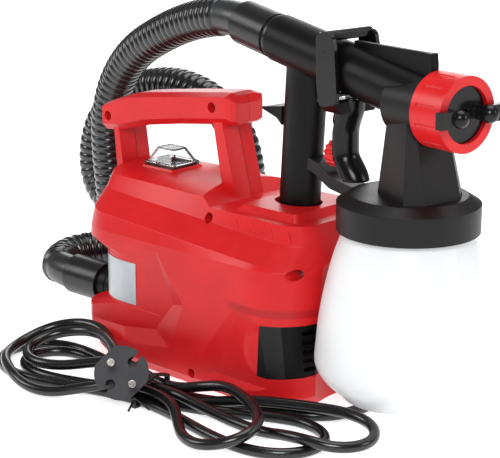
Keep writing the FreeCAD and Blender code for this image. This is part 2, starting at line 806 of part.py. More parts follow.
def build_label():
    """Bare plate on the recessed panel of the right side."""
    half = recess_half_width
    wires = []
    for grow in (0.0, 0.45):
        level = (0.0, 0.0, recess_rear - grow, 150.0, half + grow, half + grow, recess_corner, 20)
        wires.append(body_wire(level, 0.0))
    outer = Part.Face(wires[1]).extrude(vec(0, 0, 120))
    inner = Part.Face(wires[0]).extrude(vec(0, 0, 120))
    room = box(-79.0, -43.0, -80, -30, 43.0, 72.5)
    save("rating_label", biggest(outer.cut(inner).common(room)))


# Gun, in its own frame
def barrel_point(x):
    slope = math.tan(math.radians(barrel_tilt))
    return vec(x, 0, barrel_rear_height - slope * (x - barrel_rear))


def barrel_along(distance):
    """A point on the barrel's axis, measured forwards from its rear end."""
    tilt = math.radians(barrel_tilt)
    start = vec(barrel_rear, 0, barrel_rear_height)
    return start + vec(math.cos(tilt), 0, -math.sin(tilt)) * distance


def build_spray_head():
    skirt = rod(lid_radius, vec(0, 0, lid_skirt_bottom), vec(0, 0, lid_rim_height))
    dome = Part.makeCone(lid_radius, lid_radius - 8, lid_top_height - lid_rim_height, vec(0, 0, lid_rim_height), vec(0, 0, 1))
    thread_radius = cup_neck_radius + thread_gap
    inside = rod(thread_radius, vec(0, 0, lid_skirt_bottom - 1), vec(0, 0, cup_rim_height + 2.6))
    lid = skirt.fuse(dome).cut(inside)
    column = column_block()
    ring_room = rod(ring_radius + ring_side_gap, vec(ring_rear - ring_side_gap, 0, nozzle_height), vec(60, 0, nozzle_height))
    column = column.cut(ring_room)
    head = rod(head_radius, vec(head_rear, 0, nozzle_height), vec(head_front, 0, nozzle_height))
    spigot = rod(spigot_radius, vec(head_front, 0, nozzle_height), vec(spigot_front, 0, nozzle_height))
    outer = lid.fuse(column).fuse(head).fuse(spigot)
    arm_points = [(-30.0, 143.5), (-47.0, 142.5), (-64.0, 145.0), (-76.0, 152.0), (-90.0, 155.0),
                  (-90.0, 147.0), (-80.0, 144.5), (-66.0, 137.5), (-47.0, 135.0), (-30.0, 136.0)]
    arm = side_profile(arm_points, [2.0, 30.0, 30.0, 12.0, 1.0, 1.0, 12.0, 20.0, 30.0, 2.0], 7.0)
    arm = arm.cut(rod(lid_radius - 3, vec(0, 0, 100), vec(0, 0, 200)))
    arm = arm.cut(grip_solid(0.0))
    outer = outer.fuse(arm)
    air_room = rod(12.5, vec(head_rear - 1, 0, nozzle_height), vec(spigot_front + 1, 0, nozzle_height))
    column_wall = 2.6
    fluid = rod(6.6, vec(-6, 0, nozzle_height), vec(spigot_front, 0, nozzle_height))
    core_wall = rod(core_radius_head, vec(packing_front, 0, nozzle_height), vec(24.0, 0, nozzle_height))
    riser = rod(tube_radius + 2.4, vec(tube_x, 0, cup_rim_height + 2.6), vec(tube_x, 0, nozzle_height))
    web = box(tube_x - 1, tube_x + 8, -16, 16, nozzle_height - 14, nozzle_height)
    outer = outer.cut(air_room.cut(core_wall).cut(web).cut(riser))
    outer = outer.fuse(core_wall)
    outer = outer.cut(rod(packing_radius, vec(packing_rear - 2, 0, nozzle_height), vec(packing_front, 0, nozzle_height)))
    outer = outer.cut(rod(needle_gallery, vec(-16, 0, nozzle_height), vec(19.0, 0, nozzle_height)))
    outer = outer.cut(rod(nozzle_thread, vec(15.0, 0, nozzle_height), vec(40.0, 0, nozzle_height)))
    outer = outer.cut(rod(tube_radius, vec(tube_x, 0, 100), vec(tube_x, 0, nozzle_height - needle_gallery + 0.5)))
    outer = outer.cut(rod(2.2, vec(tube_x, 0, 180), vec(tube_x, 0, nozzle_height)))
    save_gun("spray_head", biggest(outer))
    return outer


packing_radius = 5.0
packing_rear = -19.0
packing_front = -12.0
core_radius_head = 7.5
spring_radius = 2.7
spring_wire = 0.4
tube_x = 2.0
tube_radius = 4.0
needle_gallery = 2.6
nozzle_thread = 4.6
needle_radius = 1.5


def grip_solid(inset):
    tilt_x = (grip_top_x - grip_bottom_x) / (grip_top_height - grip_bottom_height)
    heights = (grip_bottom_height + inset, grip_top_height)
    wires = []
    for z in heights:
        x = grip_bottom_x + tilt_x * (z - grip_bottom_height)
        wires.append(ellipse_wire(x, 0, z, grip_long - inset, grip_wide - inset))
    return Part.makeLoft(wires, True, True)


def build_gun_body(head_outer):
    rear = barrel_along(0)
    front = barrel_along(150)
    barrel = rod(barrel_radius, rear, front)
    fin_top = 234.0
    fin_half = 1.6
    fin = [vec(-50, -fin_half, fin_top), vec(18, -fin_half, fin_top), vec(21, -fin_half, 212), vec(-50, -fin_half, 220)]
    fin = Part.Face(Part.makePolygon(fin + [fin[0]])).extrude(vec(0, 2 * fin_half, 0))
    rib_outline = [(14, fin_top), (18, fin_top), (21, 214), (17, 214)]
    rib = [vec(x, -3.0, z) for x, z in rib_outline]
    rib = Part.Face(Part.makePolygon(rib + [rib[0]])).extrude(vec(0, 6.0, 0))
    grip = grip_solid(0.0)
    outer = barrel.fuse(grip).fuse(fin).fuse(rib)
    front_trim = box(head_front - 2.0, 60, -40, 40, 150, 260)
    outer = outer.cut(front_trim)
    inner = rod(barrel_radius - barrel_wall, barrel_along(-1), barrel_along(112))
    tip_room = rod(spigot_radius, vec(head_front - 2.5, 0, nozzle_height), vec(60, 0, nozzle_height))
    outer = outer.cut(inner).cut(tip_room)
    grip_room = grip_solid(grip_wall)
    outer = outer.cut(grip_room)
    outer = outer.cut(head_outer)
    outer = outer.cut(column_solid())
    pin_hole = rod(pivot_radius, vec(pivot_x, -30, pivot_height), vec(pivot_x, 30, pivot_height))
    outer = outer.cut(pin_hole)
    slot_long = 8.5
    slot = box(cross_pin_x - slot_long + 2.2, cross_pin_x + 2.2, -30, 30, nozzle_height - 3.6, nozzle_height + 2.2)
    outer = outer.cut(slot)
    outer = outer.cut(box(-64, -44.5, -3.6, 3.6, 190, nozzle_height + 4.5))
    outer = outer.cut(rod(spring_radius + 0.3, vec(-46, 0, nozzle_height), vec(packing_front, 0, nozzle_height)))
    outer = outer.cut(rod(packing_radius, vec(packing_rear - 2, 0, nozzle_height), vec(packing_front, 0, nozzle_height)))
    outer = outer.cut(rod(core_radius_head, vec(packing_front, 0, nozzle_height), vec(0, 0, nozzle_height)))
    outer = outer.cut(panel_space(0.0))
    save_gun("gun_body", biggest(outer))
    return outer


def column_block():
    """The column from inside the lid to the head, with six flat sides."""
    wires = []
    for half, z in ((column_foot, lid_top_height - 3), (column_top, nozzle_height)):
        corners = [vec(x, -y, z) for x, y in half] + [vec(x, y, z) for x, y in reversed(half)]
        wires.append(Part.makePolygon(corners + [corners[0]]))
    return Part.makeLoft(wires, True, True)


def column_solid():
    head = rod(head_radius, vec(head_rear, 0, nozzle_height), vec(head_front, 0, nozzle_height))
    return column_block().fuse(head)


panel_top = 186.0
panel_bottom = 112.0
panel_depth = 10.0


def panel_space(gap):
    """Rear slice of the grip that the separate panel fills."""
    tilt_x = (grip_top_x - grip_bottom_x) / (grip_top_height - grip_bottom_height)
    low_x = grip_bottom_x + tilt_x * (panel_bottom - grip_bottom_height) - grip_long + panel_depth
    high_x = grip_bottom_x + tilt_x * (panel_top - grip_bottom_height) - grip_long + panel_depth
    outline = [vec(low_x - 40, -30, panel_bottom + gap), vec(low_x - gap, -30, panel_bottom + gap),
               vec(high_x - gap, -30, panel_top - 6 - gap), vec(high_x - 8 - gap, -30, panel_top - gap),
               vec(high_x - 40, -30, panel_top - gap)]
    return Part.Face(Part.makePolygon(outline + [outline[0]])).extrude(vec(0, 60, 0))


def build_grip_panel():
    panel = grip_solid(0.0).common(panel_space(0.0)).cut(grip_solid(grip_wall))
    horn_root = -114.0
    horn = [(horn_root + 3, 184.5), (-131.0, 181.5), (-131.0, 180.0), (horn_root - 2, 176.0), (horn_root + 3, 172.0)]
    horn = [vec(x, -9.0, z) for x, z in horn]
    horn = Part.Face(Part.makePolygon(horn + [horn[0]])).extrude(vec(0, 18.0, 0))
    horn = horn.cut(grip_solid(grip_wall)).common(panel_space(0.0))
    panel = panel.fuse(horn)
    save_gun("grip_panel", biggest(panel))


def build_trigger():
    inner = barrel_radius + trigger_side_gap
    outer = inner + trigger_arm
    axis_z = barrel_point(pivot_x).z
    arms = []
    outline = [(-66.0, 239.0), (-51.0, 239.0), (-48.5, 228.0), (-46.0, 203.0), (-47.5, 195.5), (-62.0, 192.0), (-65.0, 206.0)]
    for side in (-1, 1):
        low = min(side * inner, side * outer)
        corners = [vec(x, low, z) for x, z in outline]
        arms.append(Part.Face(rounded(corners, [5, 5, 20, 4, 4, 4, 20])).extrude(vec(0, trigger_arm, 0)))
    bar = rod(3.4, vec(-58.5, -outer, 236.9), vec(-58.5, outer, 236.9))
    bar = bar.fuse(box(-63.0, -54.0, -outer, outer, 235.0, 239.0))
    bar = bar.cut(box(-90, -20, -inner, inner, 180, 234.0))
    web_outline = [(-64.5, 198.0), (-48.0, 198.0), (-46.5, 186.0), (-51.0, 176.0), (-52.0, 158.0),
                   (-47.5, 150.5), (-41.0, 148.5), (-42.0, 145.5), (-52.0, 146.0), (-59.5, 152.0), (-60.0, 176.0), (-63.0, 186.0)]
    wide = [vec(x, -outer, z) for x, z in web_outline]
    web = Part.Face(rounded(wide, [2, 2, 6, 10, 8, 6, 1, 1, 6, 12, 20, 8])).extrude(vec(0, 2 * outer, 0))
    taper = Part.Face(Part.makePolygon([vec(-90, -outer, 200), vec(-90, outer, 200), vec(-90, outer, 196),
                                        vec(-90, trigger_half_width, 182), vec(-90, trigger_half_width, 140),
                                        vec(-90, -trigger_half_width, 140), vec(-90, -trigger_half_width, 182),
                                        vec(-90, -outer, 196), vec(-90, -outer, 200)])).extrude(vec(80, 0, 0))
    web = web.common(taper)
    round_sections = [(-52.5, 143, 12.5, 9.6), (-54.2, 152, 11.2, 9.4), (-59.4, 160, 9.1, 9.0),
                      (-59.4, 177, 9.1, 9.0), (-55.0, 189, 9.6, 9.5)]
    lever = Part.makeLoft([ellipse_wire(x, 0, z, long, wide) for x, z, long, wide in round_sections], True, True)
    web = web.common(lever.fuse(box(-80, -30, -30, 30, 189, 220)))
    clear = rod(barrel_radius + 2.2, barrel_along(30), barrel_along(100))
    web = web.cut(clear).cut(box(-70, -42, -4.6, 4.6, 191.5, 210))
    trigger = arms[0].fuse(arms[1]).fuse(bar).fuse(web)
    trigger = trigger.cut(rod(pivot_radius + running_gap, vec(pivot_x, -40, pivot_height), vec(pivot_x, 40, pivot_height)))
    trigger = trigger.cut(rod(cross_pin_radius, vec(cross_pin_x, -40, nozzle_height), vec(cross_pin_x, 40, nozzle_height)))
    trigger = trigger.cut(rod(knob_screw_radius, vec(-70, 0, knob_height), vec(-45, 0, knob_height)))
    save_gun("trigger", biggest(trigger))
    pins = []
    for side in (-1, 1):
        pins.append(rod(pivot_radius, vec(pivot_x, side * 10.5, pivot_height), vec(pivot_x, side * outer, pivot_height)))
    save_gun("trigger_pivot_pins", *pins)
    save_gun("trigger_cross_pin", rod(cross_pin_radius, vec(cross_pin_x, -outer, nozzle_height), vec(cross_pin_x, outer, nozzle_height)))

    knob_rear = -69.0
    knob_front = -60.6
    knob = rod(knob_radius, vec(knob_rear, 0, knob_height), vec(knob_front, 0, knob_height))
    flute_count = 14
    flutes = []
    for i in range(flute_count):
        angle = 2 * math.pi * i / flute_count
        y = (knob_radius + 0.5) * math.cos(angle)
        z = (knob_radius + 0.5) * math.sin(angle)
        flutes.append(rod(1.3, vec(knob_rear - 1, y, knob_height + z), vec(knob_front + 1, y, knob_height + z)))
    knob = knob.cut(Part.makeCompound(flutes))
    knob = knob.cut(rod(knob_screw_radius + running_gap, vec(-72, 0, knob_height), vec(-50, 0, knob_height)))
    save_gun("flow_knob", biggest(knob))
    save_gun("flow_knob_screw", rod(knob_screw_radius, vec(knob_rear - 1.5, 0, knob_height), vec(-49.5, 0, knob_height)))


def build_needle_group():
    z = nozzle_height
    eye_rear = -56.0
    eye_front = -45.0
    rod_front = 29.0
    rodlet = rod(needle_radius, vec(eye_front - 1, 0, z), vec(rod_front, 0, z))
    tip = Part.makeCone(needle_radius, 0.5, 6.0, vec(rod_front, 0, z), vec(1, 0, 0))
    eye = box(eye_rear, eye_front, -3, 3, z - 4.2, z + 3.4)
    side_play = cross_pin_radius + 0.1
    window = box(cross_pin_x - side_play, cross_pin_x + side_play, -4, 4, z - 3.0, z + 1.9)
    needle = rodlet.fuse(tip).fuse(eye.cut(window))
    save_gun("fluid_needle", needle)
    nut = tube(packing_radius, needle_radius + running_gap, vec(packing_rear, 0, z), vec(packing_front, 0, z))
    save_gun("needle_packing_nut", nut)
    coils = 11
    length = packing_rear - eye_front - 2 * spring_wire - 0.1
    coil_radius = spring_radius - spring_wire
    helix = Part.makeHelix(length / coils, length, coil_radius)
    profile = Part.Wire([Part.Circle(vec(coil_radius, 0, 0), vec(0, 1, 0), spring_wire).toShape()])
    spring = Part.Wire(helix.Edges).makePipeShell([profile], True, True)
    spring.rotate(vec(0, 0, 0), vec(0, 1, 0), 90)
    spring.translate(vec(eye_front + spring_wire + 0.05, 0, z))
    save_gun("needle_spring", spring)
    nozzle_rear = 19.2
    nozzle = rod(nozzle_thread - 0.1, vec(nozzle_rear, 0, z), vec(24.0, 0, z))
    nozzle = nozzle.fuse(rod(7.0, vec(24.0, 0, z), vec(30.0, 0, z)))
    nozzle = nozzle.fuse(Part.makeCone(7.0, 3.0, 9.0, vec(30.0, 0, z), vec(1, 0, 0)))
    bore = rod(2.4, vec(nozzle_rear - 1, 0, z), vec(29.2, 0, z))
    bore = bore.fuse(Part.makeCone(2.4, 1.0, 8.5, vec(29.2, 0, z), vec(1, 0, 0)))
    bore = bore.fuse(rod(1.0, vec(36.0, 0, z), vec(40.0, 0, z)))
    save_gun("fluid_nozzle", nozzle.cut(bore))


def build_air_cap():
    z = nozzle_height
    rear = spigot_front + 0.3
    front = 43.5
    disc_radius = ring_opening - 0.3
    disc = rod(spigot_radius + 1.4, vec(rear, 0, z), vec(rear + 2.6, 0, z))
    disc = disc.fuse(rod(disc_radius, vec(rear + 2.6, 0, z), vec(front, 0, z)))
    hollow = Part.makeCone(9.0, 4.4, 8.0, vec(rear - 0.1, 0, z), vec(1, 0, 0))
    disc = disc.cut(hollow).cut(rod(3.4, vec(rear, 0, z), vec(front + 5, 0, z)))
    cap = disc
    ball_x = 52.0
    ball_y = 12.4
    ball_radius = 5.6
    for side in (-1, 1):
        ball = Part.makeSphere(ball_radius, vec(ball_x, side * ball_y, z))
        stem = rod(4.6, vec(front - 1, side * ball_y, z), vec(ball_x, side * ball_y, z))
        low = min(side * 14.0, side * 27.0)
        paddle = box(47.0, 52.5, low, low + 13.0, z - 5.0, z + 5.0)
        cap = cap.fuse(ball).fuse(stem).fuse(paddle)
        horn_hole = rod(1.0, vec(front + 2, side * 8.5, z), vec(front + 2, side * 5.0, z))
        cap = cap.cut(horn_hole)
    save_gun("air_cap", biggest(cap))

    ring = rod(ring_radius, vec(ring_rear, 0, z), vec(ring_front, 0, z))
    ring = ring.cut(rod(spigot_radius + ring_wall_gap, vec(ring_rear - 1, 0, z), vec(spigot_front, 0, z)))
    ring = ring.cut(rod(spigot_radius + 1.7, vec(spigot_front - 0.1, 0, z), vec(spigot_front + 3.2, 0, z)))
    ring = ring.cut(rod(ring_opening, vec(ring_rear - 1, 0, z), vec(ring_front + 1, 0, z)))
    groove_count = 12
    grooves = []
    for i in range(groove_count):
        angle = 2 * math.pi * (i + 0.5) / groove_count
        y = (ring_radius + 0.5) * math.cos(angle)
        dz = (ring_radius + 0.5) * math.sin(angle)
        grooves.append(rod(1.1, vec(ring_rear + 4, y, z + dz), vec(ring_front - 5, y, z + dz)))
    ring = ring.cut(Part.makeCompound(grooves))
    save_gun("ring_nut", biggest(ring))


cup_profile = [
    (20.0, 43.4), (25.0, 49.0), (31.0, 54.0), (cup_belly_height, cup_belly_radius), (46.0, 56.4),
    (60.0, 55.2), (80.0, 52.2), (98.0, 48.2), (110.0, 44.7), (117.0, 42.2), (cup_neck_height, cup_neck_radius),
]


def cup_curve(inset):
    points = [vec(radius - inset, 0, z) for z, radius in cup_profile]
    curve = Part.BSplineCurve()
    curve.interpolate(points)
    return curve.toShape(), points[0], points[-1]


def build_cup():
    outer, low, high = cup_curve(0.0)
    inner, inner_low, inner_high = cup_curve(cup_wall)
    foot = vec(cup_bottom_radius - 3.0, 0, cup_bottom)
    rim = vec(cup_neck_radius, 0, cup_rim_height)
    inner_rim = vec(cup_neck_radius - cup_wall, 0, cup_rim_height)
    floor = vec(cup_bottom_radius - 4.5, 0, cup_bottom + cup_wall)
    edges = [
        Part.makeLine(vec(0, 0, cup_bottom), foot), Part.makeLine(foot, low), outer, Part.makeLine(high, rim),
        Part.makeLine(rim, inner_rim), Part.makeLine(inner_rim, inner_high), inner,
        Part.makeLine(inner_low, floor), Part.makeLine(floor, vec(0, 0, cup_bottom + cup_wall)),
        Part.makeLine(vec(0, 0, cup_bottom + cup_wall), vec(0, 0, cup_bottom)),
    ]
    outline = Part.Face(Part.Wire(Part.__sortEdges__(edges)))
    save_gun("paint_cup", outline.revolve(vec(0, 0, 0), vec(0, 0, 1), 360))
    seal_low = cup_rim_height
    seal_high = cup_rim_height + 2.6
    save_gun("cup_seal", tube(cup_neck_radius, cup_neck_radius - 4, vec(0, 0, seal_low), vec(0, 0, seal_high)))
    straight = vec(tube_x, 0, cup_bottom + 6)
    save_gun("suction_tube", tube(tube_radius, 2.6, straight, vec(tube_x, 0, nozzle_height - 12)))
    valve_top = cup_rim_height + 2.6
    valve = rod(5.0, vec(-22, 0, valve_top - 8), vec(-22, 0, valve_top))
    save_gun("cup_pressure_valve", valve.cut(rod(1.5, vec(-22, 0, valve_top - 9), vec(-22, 0, valve_top - 2))))


def build_cuffs():
    rear = barrel_along(0)
    inside = barrel_radius - barrel_wall - cuff_fit
    spigot_end = barrel_along(cuff_spigot)
    back = barrel_along(-cuff_length)
    cuff = rod(cuff_radius, back, barrel_along(0)).fuse(rod(inside, barrel_along(-1), spigot_end))
    cuff = cuff.cut(tube(cuff_radius + 1, cuff_radius - 1.2, barrel_along(-5.5), barrel_along(-3.0)))
    cuff = cuff.cut(rod(hose_bore, back, spigot_end))
    save_gun("hose_cuff_gun", cuff)

    start = vec(cuff_start, outlet_y, outlet_height)
    end = vec(cuff_start - base_cuff_length, outlet_y, outlet_height)
    cuff = rod(cuff_radius - 0.6, start, end)
    cuff = cuff.cut(rod(outlet_radius + cuff_fit, start, vec(socket_tip, outlet_y, outlet_height)))
    cuff = cuff.cut(rod(hose_bore, start, end))
    save("hose_cuff_base", cuff)


base_cuff_length = 34.0


def bend_path(points, radii=None):
    """Straight runs joined by tangent arcs, as large as each pair of runs allows."""
    edges = []
    last = points[0]
    used = []
    for i in range(1, len(points) - 1):
        back = points[i - 1] - points[i]
        ahead = points[i + 1] - points[i]
        turn = math.pi - back.getAngle(ahead)
        if turn < 0.01:
            continue
        share = 0.45 * min(back.Length, ahead.Length)
        radius = share / math.tan(turn / 2)
        first = points[i] + back.normalize() * share
        end = points[i] + ahead.normalize() * share
        centre = points[i] + (back + ahead).normalize() * (radius / math.cos(turn / 2))
        middle = centre + (points[i] - centre).normalize() * radius
        edges.append(Part.makeLine(last, first))
        edges.append(Part.Arc(first, middle, end).toShape())
        last = end
        used.append(radius)
    edges.append(Part.makeLine(last, points[-1]))
    return Part.Wire(edges), used


def pipe(path, radius):
    start = path.Edges[0]
    direction = start.tangentAt(start.FirstParameter)
    profile = Part.Wire([Part.Circle(start.valueAt(start.FirstParameter), direction, radius).toShape()])
    return path.makePipeShell([profile], True, False)


def hose_points():
    start = to_gun(Part.Vertex(barrel_along(-cuff_length))).Point
    second = to_gun(Part.Vertex(barrel_along(-cuff_length - 16))).Point
    cuff_end = cuff_start - base_cuff_length
    loops = [
        (-48, 14, 233), (-80, 20, 224.5), (-110, 25, 212.5), (-136, 30, 200), (-158, 35, 184), (-174, 38, 164),
        (-184, 41, 141), (-188, 44, 115), (-187, 46, 86), (-186, 48, 58), (-180, 55, 31), (-164, 68, 16),
        (-138, 83, 14.6), (-111, 93, 22), (-94, 96, 44), (-87, 96, 74), (-87, 95, 106), (-96, 93, 134),
        (-118, 91, 154), (-150, 89, 163), (-184, 88, 160), (-215, 86, 148), (-238, 83, 127), (-247, 81, 100),
        (-244, 80, 75), (-226, 78, 60), (-196, 76, 57), (-166, 73, 57), (-136, 70, 57), (-122, 58, 56),
        (-120, 40, 54), (-132, 23, 50), (-152, 15, 47), (-168, 4, 44.5), (-174, -12, 42.5), (-166, -29, 41),
        (-152, outlet_y, outlet_height),
    ]
    return [start, second] + [vec(*p) for p in loops] + [vec(cuff_end, outlet_y, outlet_height)]


def build_hose():
    route = hose_points()
    path, radii = bend_path(route)
    print("hose bend radii", [round(r) for r in radii])
    solid = ribbed(path)
    ring = (hose_crest ** 2 + hose_root ** 2) / 2 - hose_bore ** 2
    print("hose length", round(path.Length), "volume share", round(solid.Volume / (math.pi * ring * path.Length), 4))
    save("air_hose", solid)


def along(path, distances):
    """Points and directions at the given distances along the path, in order."""
    found = []
    start = 0.0
    edges = list(path.Edges)
    edge = edges.pop(0)
    for distance in distances:
        while distance > start + edge.Length and edges:
            start += edge.Length
            edge = edges.pop(0)
        place = edge.getParameterByLength(min(distance - start, edge.Length))
        found.append((edge.valueAt(place), edge.tangentAt(place)))
    return found


def ring_wire(centre, direction, side, radius):
    circle = Part.Circle(centre, direction, radius)
    circle.XAxis = side
    return Part.Wire([circle.toShape()])


def ribbed(path):
    """One tube with a rib every pitch: each rib is ruled through four circles, and both ends stay plain."""
    room = path.Length - 2 * hose_plain_end
    count = round(room / rib_pitch)
    pitch = room / count
    distances = [0.0]
    radii = [hose_root]
    for i in range(count):
        for share, radius in ((0.1, hose_root), (0.35, hose_crest), (0.65, hose_crest), (0.9, hose_root)):
            distances.append(hose_plain_end + (i + share) * pitch)
            radii.append(radius)
    distances.append(path.Length)
    radii.append(hose_root)
    side = vec(0, 0, 1)
    outer = []
    bore = []
    for (centre, direction), radius in zip(along(path, distances), radii):
        side = (side - direction * side.dot(direction)).normalize()
        outer.append(ring_wire(centre, direction, side, radius))
        bore.append(ring_wire(centre, direction, side, hose_bore))
    inner = bore[:1] + bore[1:-1:4] + bore[-2:]
    solid = Part.makeLoft(outer, True, True).cut(Part.makeLoft(inner, True, True))
    print("hose ribs", count, "valid", solid.isValid())
    return solid


cord_points = [
    (relief_x, cord_end_y, relief_height), (relief_x, 112, relief_height), (7, 146, 6), (30, 172, cord_rest),
    (68, 177, cord_rest), (104, 162, cord_rest), (126, 130, cord_rest), (133, 90, cord_rest), (131, 50, cord_rest),
    (130, 10, cord_rest), (135, -20, cord_rest), (129, -48, cord_rest), (104, -66, cord_rest),
]
cord_joins_hank = (80, -78, cord_rest)

# The hank's outer shape: X, near edge, far edge, heights of the far edge, the ridge and the near edge
hank_sections = [
    (-125, -114, -95, 7, 9, 8),
    (-114, -130, -84, 12, 15, 11),
    (-88, -146, -74, 27, 27, 13),
    (-58, -151, -74, 28, 27, 10),
    (-28, -149, -82, 19, 23, 8),
    (-4, -138, -89, 14, 19, 8),
    (11, -122, -91, 14, 17, 8),
    (23, -121, -90, 14, 17, 11),
    (48, -132, -82, 10, 19, 11),
    (76, -146, -74, 9, 21, 11),
    (98, -147, -72, 9, 16, 11),
    (112, -131, -73, 12, 14, 9),
    (140, -121, -75, 13, 13, 9),
    (160, -108, -81, 12, 12, 10),
]


def hank_wire(x, near, far, far_height, ridge_height, near_height, floor):
    ridge = far + 0.35 * (near - far)
    points = [vec(x, near, floor), vec(x, far, floor), vec(x, far, far_height), vec(x, ridge, ridge_height),
              vec(x, near, near_height)]
    return Part.makePolygon(points + [points[0]])


def waist_section(grow):
    """The hank where it is tied, drawn in and lifted off the ground by the tie's thickness."""
    lift = 0.1 + tie_thickness - grow
    return Part.Face(hank_wire(waist_x, -120 - grow, -91.5 + grow, 14 + grow, 17 + grow, 11 + grow, lift))


def plug_place(shape):
    """Leans the plug on the bundle with its pins to the near side, its face tilted up."""
    axis = vec(0.698, -0.627, 0.346).normalize()
    side = vec(0.729, 0.685, 0)
    side = (side - axis * side.dot(axis)).normalize()
    up = axis.cross(side)
    matrix = FreeCAD.Matrix(side.x, up.x, axis.x, 12, side.y, up.y, axis.y, -128, side.z, up.z, axis.z, 25, 0, 0, 0, 1)
    moved = shape.copy()
    moved.transformShape(matrix, True)
    return moved


def plug_shape():
    """Round plug, its face at Z = 0 and the cord leaving at the back."""
    body = rod(plug_radius, vec(0, 0, -plug_rim), vec(0, 0, 0))
    body = body.fuse(Part.makeCone(plug_rear_radius, plug_radius, plug_depth - plug_rim, vec(0, 0, -plug_depth), vec(0, 0, 1)))
    flat = 15.6
    notch = 3.1
    for turn in (0, 180):
        chord = box(flat, flat + 20, -30, 30, -plug_depth - 1, 1)
        chord.rotate(vec(0, 0, 0), vec(0, 0, 1), 135 + turn)
        slot = box(plug_radius - 7, plug_radius + 5, -notch / 2, notch / 2, -plug_depth - 1, 1)
        slot = slot.fuse(rod(notch, vec(plug_radius - 7.5, 0, -9), vec(plug_radius - 7.5, 0, 1)))
        slot.rotate(vec(0, 0, 0), vec(0, 0, 1), 45 + turn)
        body = body.cut(chord).cut(slot)
    return body


def build_cord():
    path, radii = bend_path([vec(*p) for p in cord_points])
    print("cord bend radii", [round(r) for r in radii])
    solid = pipe(path, cord_radius)
    print("cord length", round(path.Length), "volume share",
          round(solid.Volume / (math.pi * cord_radius ** 2 * path.Length), 4))
    save("mains_cord", solid)

    hank_parts = []
    sections = list(hank_sections)
    waist = waist_section(0.0)
    wires = [hank_wire(*section, 0.1) for section in sections]
    split = [i for i, section in enumerate(sections) if section[0] > waist_x][0]
    half_tie = tie_width / 2 + 0.2
    for run, end in ((wires[:split], -1), (wires[split:], 1)):
        seat = waist.OuterWire.copy()
        seat.translate(vec(end * half_tie, 0, 0))
        run = run + [seat] if end < 0 else [seat] + run
        hank_parts.append(Part.makeLoft(run, True, True))
    middle = waist.copy()
    middle.translate(vec(-half_tie, 0, 0))
    hank = hank_parts[0].fuse(middle.extrude(vec(2 * half_tie, 0, 0))).fuse(hank_parts[1])
    plug = plug_shape()
    keep = plug_place(rod(plug_radius + 0.3, vec(0, 0, -plug_depth - 0.3), vec(0, 0, 1)))
    tail = plug_place(rod(cord_radius, vec(0, 0, -plug_depth - 26), vec(0, 0, -plug_depth)))
    hank = hank.cut(keep).fuse(tail)
    hank = hank.fuse(rod(cord_radius, vec(*cord_points[-1]), vec(*cord_joins_hank)))
    save("mains_cord_hank", biggest(hank))

    band = waist_section(tie_thickness).extrude(vec(tie_width, 0, 0))
    band = band.cut(waist.extrude(vec(tie_width, 0, 0)))
    band.translate(vec(-tie_width / 2, 0, 0))
    tail_radius = 0.7
    for start, end in (((0, -120.7, 8), (22, -128, 7)), ((0, -120.7, 5), (6, -131, 2.5))):
        shift = vec(waist_x, 0, 0)
        band = band.fuse(rod(tail_radius, vec(*start) + shift, vec(*end) + shift))
    band = band.cut(hank).cut(keep)
    save("cord_tie", biggest(band))

    pins = []
    for side in (-1, 1):
        place = side * pin_spacing / 2
        at = vec(-place * math.cos(math.radians(45)), place * math.sin(math.radians(45)), 0)
        hole = rod(pin_radius, at - vec(0, 0, pin_root), at + vec(0, 0, 1))
        pin = rod(pin_radius, at - vec(0, 0, pin_root), at + vec(0, 0, pin_length))
        plug = plug.cut(hole)
        pins.append(plug_place(pin))
    save("plug_body", plug_place(plug))
    save("plug_pins", *pins)


build_housing()
build_vent()
build_base_plate()
build_motor()
build_fan()
build_cord_entry()
build_leads()
build_switch()
build_label()
head_shape = build_spray_head()
body_shape = build_gun_body(head_shape)
build_grip_panel()
build_trigger()
build_needle_group()
build_air_cap()
build_cup()
build_cuffs()
build_hose()
build_cord()
print("done")
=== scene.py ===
import math

import bpy
import numpy as np
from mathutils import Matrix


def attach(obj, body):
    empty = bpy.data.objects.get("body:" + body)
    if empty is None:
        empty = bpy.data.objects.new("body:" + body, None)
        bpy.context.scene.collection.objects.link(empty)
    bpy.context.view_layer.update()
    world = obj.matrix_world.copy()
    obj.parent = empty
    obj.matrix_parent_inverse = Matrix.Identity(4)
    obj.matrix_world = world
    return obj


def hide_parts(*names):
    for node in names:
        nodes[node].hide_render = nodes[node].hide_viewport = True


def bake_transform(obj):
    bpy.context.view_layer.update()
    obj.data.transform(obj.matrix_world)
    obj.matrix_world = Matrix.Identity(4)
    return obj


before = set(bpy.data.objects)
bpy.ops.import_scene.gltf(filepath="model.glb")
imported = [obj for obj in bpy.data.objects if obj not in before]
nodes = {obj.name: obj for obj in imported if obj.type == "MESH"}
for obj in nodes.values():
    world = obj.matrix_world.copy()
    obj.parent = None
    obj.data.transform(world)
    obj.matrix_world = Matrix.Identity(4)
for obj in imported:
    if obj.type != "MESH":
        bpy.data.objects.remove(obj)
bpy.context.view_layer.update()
scene = bpy.context.scene
print("frame loaded with", len(nodes), "CAD nodes")


def tone(red, green, blue):
    # a colour picked as 0 to 255 values, turned to linear light
    share = np.array([red, green, blue]) / 255
    linear = np.where(share <= 0.04045, share / 12.92, ((share + 0.055) / 1.055) ** 2.4)
    return (*[float(v) for v in linear], 1.0)


